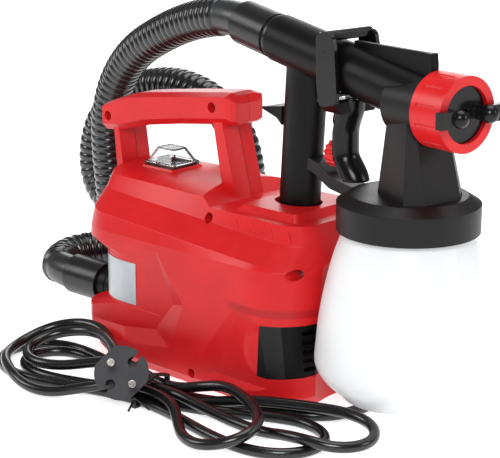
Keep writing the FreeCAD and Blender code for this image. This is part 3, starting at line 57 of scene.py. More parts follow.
class Flow:
    # one socket of a node tree that python's own operators can be used on

    def __init__(self, tree, socket=None):
        self.tree = tree
        self.socket = socket

    def add(self, kind, settings=None, inputs=None, output=0):
        node = self.tree.nodes.new("ShaderNode" + kind)
        for name, value in (settings or {}).items():
            setattr(node, name, value)
        for name, value in (inputs or {}).items():
            if isinstance(value, Flow):
                self.tree.links.new(value.socket, node.inputs[name])
            else:
                node.inputs[name].default_value = value
        return Flow(self.tree, node.outputs[output])

    def sum(self, operation, first, second=0.0):
        return self.add("Math", {"operation": operation}, {0: first, 1: second})

    def __add__(self, other):
        return self.sum("ADD", self, other)

    def __sub__(self, other):
        return self.sum("SUBTRACT", self, other)

    def __rsub__(self, other):
        return self.sum("SUBTRACT", other, self)

    def __mul__(self, other):
        return self.sum("MULTIPLY", self, other)

    def __truediv__(self, other):
        return self.sum("DIVIDE", self, other)

    def __pow__(self, other):
        return self.sum("POWER", self, other)

    def __abs__(self):
        return self.sum("ABSOLUTE", self)

    __radd__ = __add__
    __rmul__ = __mul__

    def wave(self):
        return self.sum("SINE", self)

    def step(self, low, high):
        # 0 below low, 1 above high, smooth between them
        return self.add("MapRange", {"interpolation_type": "SMOOTHSTEP"}, {0: self, 1: low, 2: high})

    def mix(self, first, second):
        return self.add("Mix", {"data_type": "RGBA"}, {0: self, 6: first, 7: second}, 2)

    def place(self):
        return self.add("TexCoord", output="Object")

    def stretch(self, scale, turn=(0, 0, 0)):
        return self.add("Mapping", {}, {"Vector": self, "Scale": scale, "Rotation": turn})

    def parts(self):
        node = self.add("SeparateXYZ", {}, {0: self}).socket.node
        return [Flow(self.tree, socket) for socket in node.outputs]

    def noise(self, scale, detail=2.0, rough=0.5):
        return self.add("TexNoise", {}, {"Vector": self, "Scale": scale, "Detail": detail,
                                         "Roughness": rough})

    def cells(self, scale):
        return self.add("TexVoronoi", {}, {"Vector": self, "Scale": scale})

    def softNormal(self, radius):
        return self.add("Bevel", {"samples": 4}, {"Radius": radius})

    def bump(self, strength, distance, normal):
        return self.add("Bump", {}, {"Height": self, "Strength": strength, "Distance": distance,
                                     "Normal": normal})


def blank(name, fixed):
    # a new material, the start of its tree, and its shader with the fixed values set on it
    material = bpy.data.materials.new(name)
    material.use_nodes = True
    tree = material.node_tree
    shader = next(node for node in tree.nodes if node.type == "BSDF_PRINCIPLED")
    for socket, value in fixed.items():
        shader.inputs[socket].default_value = value
    return material, Flow(tree), shader


def feed(shader, **wires):
    # puts what varies over the surface into the shader
    names = {"colour": "Base Color", "roughness": "Roughness", "metallic": "Metallic", "normal": "Normal"}
    for name, wire in wires.items():
        wire.tree.links.new(wire.socket, shader.inputs[names[name]])


plasticLook = {
    "shade": tone(196, 22, 26),      # the two tones that the moulding drifts between
    "colour": tone(214, 28, 32),
    "rubbed": tone(232, 60, 60),     # handled edges
    "drift": (14.0, 70.0),           # size of the broad and of the cloudy drift, per metre
    "roughness": 0.34,
    "grain": 1900.0,                 # spark-eroded skin, bumps per metre
    "grainDepth": 0.00003,
    "edge": 0.0007,                  # how softly sharp edges catch the light
    "wear": 0.35,
    "scuffs": 0.25,
    "coat": 0.0,
    "gloss": 0.3,
}

shellLook = {
    "seam": (0.00012, 0.00045),      # inner and outer half width of the groove where the two shells meet
    "seamTone": tone(96, 8, 12),
    "seamDepth": 6,                  # this and the next depths are in grain heights
    "ventTone": tone(13, 13, 14),
    "ventStands": 12,
    "hollowDepth": 70,
    "ledgeStands": 40,
    # the next tone is painted shadow along the step above the vent
    "ledgeShadowTone": tone(150, 12, 16),
}

# the plain black ends of the vent on the two sides, the hollow behind each with a painted highlight in it, and
# the ledge above with a painted shadow line along it
vent = {
    "rear": 0.0708,                  # where the plain black ends stop on the sides
    "front": 0.0955,
    "low": 0.021,
    "high": 0.055,
    "side": (0.045, 0.046),          # nothing nearer the middle than this belongs to the ends
    "lean": 0.06,                    # of the rear edge
    "soft": 0.00035,
    "hollowLong": 0.0125,            # half sizes and height of the hollow behind each end
    "hollowTall": 0.0165,
    "hollowHigh": 0.038,
    "hollowUnder": 0.003,            # how far it runs on under the end
    "ledge": (0.063, 0.069),         # heights of the step that runs round the front above the vent
    "ledgeFades": 0.0195,
    "ledgeFrom": (0.04, 0.065),      # it comes up over this stretch, forward of the base's middle
    "shade": (0.062, 0.0635, 0.0665, 0.069),     # the painted shadow line on the step comes and goes at these heights
    "shadeFrom": (0.04, 0.052),
    "falls": 0.03,                   # how steeply both fall towards the front
}


def ventEnds(place):
    # masks of the vent's plain black ends, which wrap back along both sides, of the hollow behind each, and
    # of the ledge above with the painted shadow line along it: an end lies between two heights and two lines
    # across, the hollow is a half ellipse behind it, and the ledge is a ramp in height that fades out upwards
    along, across, up = place.parts()
    low, high, soft = vent["low"], vent["high"], vent["soft"]
    outside = abs(across).step(*vent["side"])
    leaning = along - (up - low) * vent["lean"]
    end = up.step(low - soft, low) * (1 - up.step(high, high + soft))
    end = end * leaning.step(vent["rear"] - soft, vent["rear"])
    end = end * (1 - along.step(vent["front"], vent["front"] + soft)) * outside
    back = (along - vent["rear"]) / vent["hollowLong"]
    middle = (up - vent["hollowHigh"]) / vent["hollowTall"]
    hollow = (1 - (back * back + middle * middle).step(0.35, 1.0)) * outside
    hollow = hollow * (1 - end) * (1 - along.step(vent["rear"], vent["rear"] + vent["hollowUnder"]))
    foot, top = vent["ledge"]
    falling = up + along * vent["falls"]
    ledge = falling.step(foot, top) * (1 - falling.step(top, top + vent["ledgeFades"]))
    ledge = ledge * along.step(*vent["ledgeFrom"])
    shade = falling.step(*vent["shade"][:2]) * (1 - falling.step(*vent["shade"][2:]))
    return end, hollow, ledge, shade * along.step(*vent["shadeFrom"])


def shellDetails(place, colour, height, rubbed):
    # the red shells' groove at y = 0, and what belongs to the vent, with a painted highlight in each hollow and
    # a painted shadow along the ledge
    groove = 1 - abs(place.parts()[1]).step(*shellLook["seam"])
    colour = (groove * 0.75).mix(colour, shellLook["seamTone"])
    height = height - groove * shellLook["seamDepth"]
    end, hollow, ledge, shade = ventEnds(place)
    # the hollow behind each vent end is painted a little paler with the rubbed tone: a painted highlight where
    # the light falls into it
    colour = (hollow * 0.35).mix(colour, rubbed)
    # the dark band on the step is painted shadow under the ledge
    colour = (shade * 0.55).mix(colour, shellLook["ledgeShadowTone"])
    colour = end.mix(colour, shellLook["ventTone"])
    height = height * (1 - end) + end * shellLook["ventStands"]
    return colour, height - hollow * shellLook["hollowDepth"] + ledge * shellLook["ledgeStands"]


def mouldedPlastic(name, isShell=False, **changes):
    look = {**plasticLook, **changes}
    material, start, shader = blank(name, {"Specular IOR Level": look["gloss"], "Coat Roughness": 0.12,
                                           "Coat Weight": look["coat"]})
    place = start.place()
    broad = place.noise(look["drift"][0], 3.0)
    cloudy = place.noise(look["drift"][1], 4.0, 0.6)
    grain = place.noise(look["grain"], 2.0)
    soft = start.softNormal(look["edge"])
    flat = start.add("NewGeometry", output="Normal")
    turned = 1 - start.add("VectorMath", {"operation": "DOT_PRODUCT"}, {0: soft, 1: flat}, "Value")
    rim = turned.step(0.01, 0.25)            # where the softened normal leaves the true one, an edge runs
    lines = place.stretch((1.0, 6.0, 3.0), (0.3, 0.2, 0.7)).noise(60.0, 1.0)
    scuff = (1 - abs(lines - 0.5).step(0.0, 0.006)) * cloudy.step(0.5, 0.7) * look["scuffs"]
    colour = (broad * 0.7 + cloudy * 0.3).step(0.3, 0.7).mix(look["shade"], look["colour"])
    colour = (rim * cloudy.step(0.35, 0.75) * look["wear"] + scuff * 0.5).mix(colour, look["rubbed"])
    height = grain * 0.8 + cloudy * 0.2 - scuff
    if isShell:
        colour, height = shellDetails(place, colour, height, look["rubbed"])
    feed(shader, colour=colour, normal=height.bump(0.35, look["grainDepth"], soft),
         roughness=look["roughness"] + (cloudy - 0.5) * 0.16 + (grain - 0.5) * 0.06 + scuff * 0.3)
    return material


metalLook = {
    "colour": tone(190, 191, 194),
    "shade": tone(150, 152, 156),
    "roughness": 0.28,
    "brushed": (900.0, 60.0, 900.0),   # drawing marks, fine across and long along
    "depth": 0.00002,
    "edge": 0.0003,
}


def bareMetal(name, **changes):
    look = {**metalLook, **changes}
    material, start, shader = blank(name, {"Metallic": 1.0})
    place = start.place()
    marks = place.stretch(look["brushed"]).noise(1.0, 3.0)
    stain = place.noise(120.0, 4.0, 0.65)
    feed(shader, colour=stain.step(0.3, 0.75).mix(look["colour"], look["shade"]),
         roughness=look["roughness"] + (marks - 0.5) * 0.2 + (stain - 0.5) * 0.15,
         normal=marks.bump(0.4, look["depth"], start.softNormal(look["edge"])))
    return material


motorLook = {
    "axisHeight": 0.052,
    "plate": 0.0009,                 # thickness of one lamination
    "bars": 24.0,                    # commutator bars and coils round the axis
    "coils": 12.0,
    "shaft": (0.0042, 0.0046),       # radius at which the shaft's plain steel ends, and its soft edge
    "coilFrom": 0.0052,
    "steel": (tone(142, 143, 148), tone(108, 108, 112)),
    "copper": (tone(188, 104, 62), tone(150, 74, 40)),
    "gap": tone(70, 70, 74),         # the dark line between two laminations
}


def motorMetal(name, commutator, coils):
    # pressed and laminated steel round the motor axis, with copper where the commutator and the coils are
    look = motorLook
    material, start, shader = blank(name, {})
    place = start.place()
    along, across, up = place.parts()
    above = up - look["axisHeight"]
    radius = (across * across + above * above) ** 0.5
    angle = start.sum("ARCTAN2", across, above)
    plates = (along * (2 * math.pi / look["plate"])).wave()
    segments = (angle * look["bars"]).wave()
    offShaft = radius.step(*look["shaft"])
    ends = along.step(commutator - 0.0004, commutator + 0.0004) * offShaft
    wound = (angle * look["coils"]).wave().step(-0.1, 0.2) * coils
    wound = wound * radius.step(look["shaft"][1], look["coilFrom"]) * (1 - ends)
    stain = place.noise(160.0, 3.0)
    steel = (offShaft * plates.step(-0.2, 0.8) * 0.5).mix(stain.mix(*look["steel"]), look["gap"])
    height = plates * 0.3 * (1 - ends) + segments * ends + wound * 0.5
    feed(shader, colour=(ends + wound).mix(steel, stain.mix(*look["copper"])), metallic=0.92 - wound * 0.5,
         roughness=0.34 + stain * 0.2, normal=height.bump(0.5, 0.0002, start.softNormal(0.0003)))
    return material


def softRubber(name, colour, roughness, grain=2600.0):
    material, start, shader = blank(name, {"Specular IOR Level": 0.4})
    place = start.place()
    skin, bloom = place.noise(grain, 3.0), place.noise(45.0, 4.0, 0.6)
    dusty = tuple(min(1.0, c * 2.2 + 0.006) for c in colour[:3]) + (1.0,)
    feed(shader, colour=(bloom.step(0.5, 0.85) * 0.5).mix(colour, dusty),
         roughness=roughness + (bloom - 0.5) * 0.25,
         normal=skin.bump(0.3, 0.00004, start.softNormal(0.0006)))
    return material


cupLook = {
    "thick": tone(247, 247, 247),
    "thin": tone(236, 236, 238),
    "split": tone(216, 216, 220),
    "splitAcross": 0.0071,           # where the mould's joint runs, seen along the gun
    "heelFrom": (0.016, 0.05),       # the heel is a little greyer below these heights
    "roughness": 0.36,
    "waveDepth": 0.00025,
}


def milkyCup():
    # natural blow-moulded bottle wall: slow waves of thickness and a faint joint of the mould on each side
    look = cupLook
    material, start, shader = blank("milky_cup", {
        "Subsurface Weight": 0.35, "Subsurface Radius": (0.02, 0.018, 0.017), "Subsurface Scale": 0.6,
        "Specular IOR Level": 0.45, "Coat Weight": 0.12, "Coat Roughness": 0.25})
    place = start.place()
    waves, cloud, skin = place.noise(18.0, 2.0), place.noise(60.0, 4.0), place.noise(1500.0, 2.0)
    across = place.stretch((1, 1, 1), (0, 0, math.radians(8))).parts()[1]
    split = 1 - abs(across - look["splitAcross"]).step(0.0001, 0.0005)
    low = 1 - place.parts()[2].step(*look["heelFrom"])
    colour = (waves.step(0.3, 0.7) * 0.5 + low * 0.4).mix(look["thick"], look["thin"])
    feed(shader, colour=(split * 0.25).mix(colour, look["split"]),
         roughness=look["roughness"] + (cloud - 0.5) * 0.14,
         normal=(waves * 4 + skin * 0.1 + split).bump(0.25, look["waveDepth"], start.softNormal(0.0008)))
    return material


def clearShell():
    # clear hard plastic with a faint ripple, and fine haze in places
    material, start, shader = blank("clear_shell", {"Transmission Weight": 1.0, "IOR": 1.45,
                                                    "Specular IOR Level": 0.5})
    place = start.place()
    film, haze = place.noise(90.0, 2.0), place.noise(500.0, 3.0)
    feed(shader, colour=film.mix(tone(250, 251, 251), tone(238, 241, 242)),
         roughness=0.03 + haze.step(0.5, 0.9) * 0.12,
         normal=film.bump(0.3, 0.0003, start.softNormal(0.0004)))
    return material


def silverFilm():
    # brushed film under a clear lacquer, stuck on with slight ripples
    material, start, shader = blank("silver_film", {"Coat Weight": 0.4, "Coat Roughness": 0.2})
    place = start.place()
    brushed = place.stretch((50.0, 50.0, 2600.0)).noise(1.0, 3.0)
    ripple, speck = place.noise(50.0, 2.0), place.noise(700.0, 3.0)
    feed(shader, colour=ripple.step(0.3, 0.8).mix(tone(176, 180, 184), tone(160, 165, 170)),
         metallic=0.35 + brushed * 0.2, roughness=0.36 + (speck - 0.5) * 0.1,
         normal=(brushed * 0.2 + ripple * 2).bump(0.3, 0.00012, start.softNormal(0.0002)))
    return material


def openFoam():
    material, start, shader = blank("open_foam", {"Specular IOR Level": 0.2})
    pores = start.place().cells(520.0).step(0.05, 0.55)
    # the pores are painted darker than the walls between them: painted shade down in the pores
    feed(shader, colour=pores.mix(tone(22, 22, 24), tone(62, 62, 66)), roughness=0.95 - pores * 0.1,
         normal=pores.bump(0.8, 0.0012, start.softNormal(0.0008)))
    return material


def dippedEpoxy():
    material, start, shader = blank("dipped_epoxy", {"Coat Weight": 0.5, "Coat Roughness": 0.1})
    drip = start.place().noise(160.0, 2.0)
    feed(shader, colour=drip.mix(tone(188, 160, 86), tone(160, 130, 62)), roughness=0.3 + drip * 0.15,
         normal=drip.bump(0.5, 0.0006, start.softNormal(0.0014)))
    return material


def wireJackets():
    # brown and blue leads, told apart by which side of the motor they pass
    material, start, shader = blank("wire_jackets", {"Specular IOR Level": 0.5})
    place = start.place()
    side = (place.parts()[1] + 0.02).step(-0.002, 0.002)
    dull = place.noise(220.0, 3.0)
    feed(shader, colour=(dull * 0.4).mix(side.mix(tone(34, 74, 168), tone(112, 62, 30)), tone(30, 30, 40)),
         roughness=0.36 + dull * 0.2, normal=dull.bump(0.2, 0.0001, start.softNormal(0.0003)))
    return material


def ribbedGloss():
    # blown plastic hose: oily gloss on the crests, which are also painted lighter as a painted sheen, and dust,
    # a duller skin and a darker painted shade down in the grooves; the piece's own uv says how far out on a rib
    # a point lies
    material, start, shader = blank("ribbed_gloss", {"Specular IOR Level": 0.55, "Coat Weight": 0.25,
                                                     "Coat Roughness": 0.08})
    place = start.place()
    depth = start.add("UVMap", {"uv_map": "around"}).parts()[1]
    cloud, skin = place.noise(60.0, 4.0), place.noise(1400.0, 2.0)
    crest = depth.step(0.25, 0.8)
    dusty = (1 - crest) * cloud.step(0.35, 0.7) * 0.35
    # crests painted lighter and grooves darker: painted sheen on the crests and painted shade in the grooves;
    # the grey dust in the grooves is real
    feed(shader, colour=dusty.mix(crest.mix(tone(10, 11, 13), tone(19, 20, 22)), tone(58, 60, 62)),
         roughness=0.38 - crest * 0.2 + (cloud - 0.5) * 0.12,
         normal=(skin * 0.4 + cloud).bump(0.15, 0.00015, start.softNormal(0.0003)))
    return material


def jacketGloss():
    # soft vinyl jacket, a little duller and paler where it has been dragged about
    material, start, shader = blank("jacket_gloss", {"Specular IOR Level": 0.5, "Coat Weight": 0.15,
                                                     "Coat Roughness": 0.15})
    place = start.place()
    cloud, skin = place.noise(55.0, 4.0, 0.6), place.noise(900.0, 3.0)
    rubbed = cloud.step(0.55, 0.8)
    feed(shader, colour=(rubbed * 0.35).mix(tone(13, 13, 15), tone(34, 34, 37)),
         roughness=0.24 + rubbed * 0.14 + (skin - 0.5) * 0.1,
         normal=(skin * 0.5 + cloud * 0.5).bump(0.2, 0.00004, start.softNormal(0.0003)))
    return material


redShell = mouldedPlastic("red_shell", isShell=True)
redRing = mouldedPlastic("red_ring", roughness=0.3, grainDepth=0.000015, wear=0.25)
black = {"shade": tone(6, 6, 7), "colour": tone(10, 10, 11), "rubbed": tone(40, 40, 42), "gloss": 0.16}
polished = {"shade": tone(11, 11, 13), "colour": tone(17, 17, 19), "coat": 0.2, "grainDepth": 0.00001}
blackSatin = mouldedPlastic("black_satin", **{**black, "roughness": 0.4, "wear": 0.3})
blackGloss = mouldedPlastic("black_gloss", **{**black, **polished, "roughness": 0.24, "wear": 0.2})
charcoal = mouldedPlastic("charcoal_satin", roughness=0.42, wear=0.3, gloss=0.26, shade=tone(17, 15, 16),
                          colour=tone(23, 21, 22), rubbed=tone(56, 53, 54))
plugGrey = mouldedPlastic("plug_grey", roughness=0.5, grainDepth=0.00005, wear=0.4, gloss=0.35,
                          shade=tone(42, 42, 45), colour=tone(52, 52, 55), rubbed=tone(90, 90, 92))
naturalTube = mouldedPlastic("natural_tube", roughness=0.3, wear=0.1, shade=tone(222, 222, 214),
                             colour=tone(236, 236, 230), rubbed=tone(245, 245, 242))
carbonHolder = mouldedPlastic("carbon_holder", roughness=0.55, shade=tone(44, 40, 36),
                              colour=tone(66, 58, 50), rubbed=tone(96, 92, 88))
zincSteel = bareMetal("zinc_steel")
needleSteel = bareMetal("needle_steel", colour=tone(206, 207, 208), shade=tone(182, 183, 186), roughness=0.18,
                        brushed=(60.0, 1400.0, 1400.0))
turnedBrass = bareMetal("turned_brass", colour=tone(214, 176, 98), shade=tone(176, 136, 70), roughness=0.22)
nickel = bareMetal("nickel_pins", colour=tone(222, 216, 206), shade=tone(190, 184, 176), roughness=0.16,
                   depth=0.00001)
spunAlloy = bareMetal("spun_alloy", colour=tone(214, 216, 218), shade=tone(186, 188, 192), roughness=0.3,
                      brushed=(60.0, 1100.0, 1100.0))
blackRubber = softRubber("black_rubber", tone(27, 27, 28), 0.62)
cuffGloss = softRubber("cuff_gloss", tone(22, 22, 24), 0.3, 900.0)
tieWire = softRubber("tie_wire", tone(20, 20, 21), 0.35, 1500.0)
ironFrame = motorMetal("pressed_iron", commutator=1.0, coils=0.0)     # a commutator 1 m away is none
woundCore = motorMetal("wound_core", commutator=0.026, coils=1.0)

finishes = {
    "housing_left": redShell, "housing_right": redShell, "ring_nut": redRing, "flow_knob": redRing,
    "vent_grille": blackSatin, "switch_frame": blackGloss, "base_plate": blackSatin,
    "hose_outlet": blackSatin, "cord_clamp": blackSatin, "cord_strain_relief": blackRubber,
    "fan_housing": blackSatin, "gun_body": blackSatin, "grip_panel": blackSatin, "trigger": blackGloss,
    "terminal_block": naturalTube,
    "spray_head": charcoal, "air_cap": blackGloss, "hose_cuff_base": cuffGloss, "hose_cuff_gun": cuffGloss,
    "paint_cup": milkyCup(), "switch_rocker": blackGloss, "switch_cover": clearShell(),
    "rating_label": silverFilm(), "housing_screws": zincSteel, "needle_spring": zincSteel,
    "flow_knob_screw": zincSteel, "trigger_cross_pin": blackGloss, "trigger_pivot_pins": blackGloss,
    "fluid_needle": needleSteel, "fluid_nozzle": needleSteel, "needle_packing_nut": turnedBrass,
    "motor_can": ironFrame, "stator_core": ironFrame, "armature": woundCore, "motor_bearings": zincSteel,
    "brush_holders": carbonHolder, "turbine_impeller": spunAlloy, "motor_rubber_mounts": blackRubber,
    "cup_seal": blackRubber, "cup_pressure_valve": blackRubber, "air_filter": openFoam(),
    "noise_capacitor": dippedEpoxy(), "inner_leads": wireJackets(), "suction_tube": naturalTube,
    "cord_tie": tieWire, "plug_body": plugGrey, "plug_pins": nickel,
}


def wear(piece, material):
    piece.data.materials.clear()
    piece.data.materials.append(material)


for name, material in finishes.items():
    wear(nodes[name], material)
print("finishes given to", len(finishes), "CAD nodes")


def meshPiece(name, points, faces, material, uv=None):
    # points is n by 3, faces a list of rows of point numbers; uv holds one pair for each point
    mesh = bpy.data.meshes.new(name)
    mesh.from_pydata(points.tolist(), [], faces)
    mesh.polygons.foreach_set("use_smooth", np.ones(len(mesh.polygons), bool))
    if uv is not None:
        corner = np.zeros(len(mesh.loops), np.int32)
        mesh.loops.foreach_get("vertex_index", corner)
        mesh.uv_layers.new(name="around").data.foreach_set("uv", uv[corner].ravel())
    mesh.update()
    piece = bpy.data.objects.new(name, mesh)
    scene.collection.objects.link(piece)
    wear(piece, material)
    return piece


def gridFaces(rows, columns, closedRows=False):
    # quads between neighbouring rows; columns always close on themselves, rows only for a ring of rings
    row, column = np.meshgrid(np.arange(rows if closedRows else rows - 1), np.arange(columns), indexing="ij")
    after, beside = (row + 1) % rows, (column + 1) % columns
    here, there = row * columns, after * columns
    return np.stack([here + column, here + beside, there + beside, there + column], -1).reshape(-1, 4)


def routeCurve(name, points, radius):
    # one open smooth spline with the route's points as its control points
    curve = bpy.data.curves.new(name, "CURVE")
    curve.dimensions = "3D"
    curve.resolution_u = 6
    curve.bevel_depth = radius
    curve.bevel_resolution = 6
    curve.use_fill_caps = True
    spline = curve.splines.new("NURBS")
    spline.points.add(len(points) - 1)
    spline.points.foreach_set("co", np.c_[points, np.ones(len(points))].ravel())
    spline.order_u = 3
    spline.use_endpoint_u = True
    piece = bpy.data.objects.new(name, curve)
    scene.collection.objects.link(piece)
    return piece


def centreLine(points, spacing):
    # the same spline read back as a line of evenly spaced points, and how far along it each of them lies
    guide = routeCurve("guide", points, 0.0)
    guide.data.resolution_u = 16
    bpy.context.view_layer.update()
    mesh = bpy.data.meshes.new_from_object(guide.evaluated_get(bpy.context.evaluated_depsgraph_get()))
    line = np.zeros(len(mesh.vertices) * 3)
    mesh.vertices.foreach_get("co", line)
    line = line.reshape(-1, 3)
    bpy.data.objects.remove(guide)
    run = np.r_[0, np.cumsum(np.linalg.norm(np.diff(line, axis=0), axis=1))]
    even = np.linspace(0, run[-1], int(round(run[-1] / spacing)) + 1)
    return np.stack([np.interp(even, run, line[:, k]) for k in range(3)], 1), even


def carried(line, radii, sides):
    # a ring of the given radius stands square to the line at each of its points; the rings' first direction
    # is carried along without twist, so point (i, k) = line_i + radius_i (cos a_k side_i + sin a_k up_i)
    ahead = np.gradient(line, axis=0)
    ahead /= np.linalg.norm(ahead, axis=1)[:, None]
    side = np.zeros_like(line)
    side[0] = np.cross(ahead[0], [0.0, 0.3, 1.0])      # no line here starts in this direction
    side[0] /= np.linalg.norm(side[0])
    for i in range(1, len(line)):
        side[i] = side[i - 1] - ahead[i] * (side[i - 1] @ ahead[i])
        side[i] /= np.linalg.norm(side[i])
    up = np.cross(ahead, side)
    angle = np.linspace(0, 2 * math.pi, sides, endpoint=False)
    ring = np.cos(angle)[None, :, None] * side[:, None] + np.sin(angle)[None, :, None] * up[:, None]
    return line[:, None] + ring * np.broadcast_to(np.asarray(radii, float), (len(line), sides))[:, :, None]


gun = {
    "axis": (0.1505, -0.014),        # where the axis of the cup stands
    "turn": -8.0,                    # of the whole gun about that axis
    "barrelRear": (-0.122, 0.227),   # forward of the axis, and height
    "barrelRise": 9.5,               # towards the hose
}


def gunPlace(points):
    # from the gun's own frame, with the cup's axis at its origin, to where the gun stands
    turn = math.radians(gun["turn"])
    x, y, z = points[..., 0], points[..., 1], points[..., 2]
    return np.stack([gun["axis"][0] + x * math.cos(turn) - y * math.sin(turn),
                     gun["axis"][1] + x * math.sin(turn) + y * math.cos(turn), z], -1)


def barrelPoints(distances):
    # points on the barrel's own axis, so far in front of its rear end
    rise = math.radians(gun["barrelRise"])
    rear, height = gun["barrelRear"]
    ahead = np.array(distances)
    return gunPlace(np.stack([rear + ahead * math.cos(rise), 0 * ahead, height - ahead * math.sin(rise)], -1))


hose = {
    "crest": 0.0139,                 # radius over the ribs
    "root": 0.0122,                  # and between them, as at the two plain ends inside the cuffs
    "bore": 0.0108,
    "pitch": 0.0062,
    "plainEnd": 0.024,
    "ringsPerRib": 8,
    "sides": 36,
    "start": (-0.038, -0.054),       # the route's first two points, on the barrel's axis
    "points": [
        (-0.048, 0.014, 0.233), (-0.080, 0.020, 0.2245), (-0.110, 0.025, 0.2125), (-0.136, 0.030, 0.200),
        (-0.158, 0.035, 0.184), (-0.174, 0.038, 0.164), (-0.184, 0.041, 0.141), (-0.188, 0.044, 0.115),
        (-0.187, 0.046, 0.086), (-0.186, 0.048, 0.058), (-0.180, 0.055, 0.031), (-0.164, 0.068, 0.016),
        (-0.138, 0.083, 0.0146), (-0.111, 0.093, 0.022), (-0.094, 0.096, 0.044), (-0.087, 0.096, 0.074),
        (-0.087, 0.095, 0.106), (-0.096, 0.093, 0.134), (-0.118, 0.091, 0.154), (-0.150, 0.089, 0.163),
        (-0.184, 0.088, 0.160), (-0.215, 0.086, 0.148), (-0.238, 0.083, 0.127), (-0.247, 0.081, 0.100),
        (-0.244, 0.080, 0.075), (-0.226, 0.078, 0.060), (-0.196, 0.076, 0.057), (-0.166, 0.073, 0.057),
        (-0.136, 0.070, 0.057), (-0.122, 0.058, 0.056), (-0.120, 0.040, 0.054), (-0.132, 0.023, 0.050),
        (-0.152, 0.015, 0.047), (-0.168, 0.004, 0.0445), (-0.174, -0.012, 0.0425), (-0.166, -0.029, 0.041),
        (-0.152, -0.036, 0.0405), (-0.137, -0.036, 0.0405),
    ],
}


def ribbedHose(line, run):
    # rings along the line, whose radius follows half-round ribs with sharp grooves between them, and back
    # through the bore with every fourth ring; uv holds the turn round the hose and the height on a rib
    phase = (run - hose["plainEnd"]) / hose["pitch"]
    ribbed = (run > hose["plainEnd"]) & (run < run[-1] - hose["plainEnd"])
    hump = np.sqrt(np.clip(1 - (2 * (phase % 1.0) - 1) ** 2, 0, 1)) * ribbed
    radii = hose["root"] + (hose["crest"] - hose["root"]) * hump
    sides = hose["sides"]
    bore = carried(line, hose["bore"], sides)[::-4]
    rings = np.concatenate([carried(line, radii[:, None], sides), bore])
    depth = np.concatenate([hump, np.zeros(len(bore))])
    around = np.broadcast_to(np.arange(sides) / sides, rings.shape[:2])
    uv = np.stack([around, np.broadcast_to(depth[:, None], around.shape)], -1).reshape(-1, 2)
    faces = gridFaces(len(rings), sides, True)[:, ::-1].tolist()
    return meshPiece("ribbed_air_hose", rings.reshape(-1, 3), faces, ribbedGloss(), uv)


hosePoints = np.concatenate([barrelPoints(hose["start"]), hose["points"]])
hoseLine, hoseRun = centreLine(hosePoints, hose["pitch"] / hose["ringsPerRib"])
airHose = ribbedHose(hoseLine, hoseRun)
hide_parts("air_hose")
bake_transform(airHose)
print("air hose", round(float(hoseRun[-1]), 3), "m,", len(airHose.data.polygons), "faces")

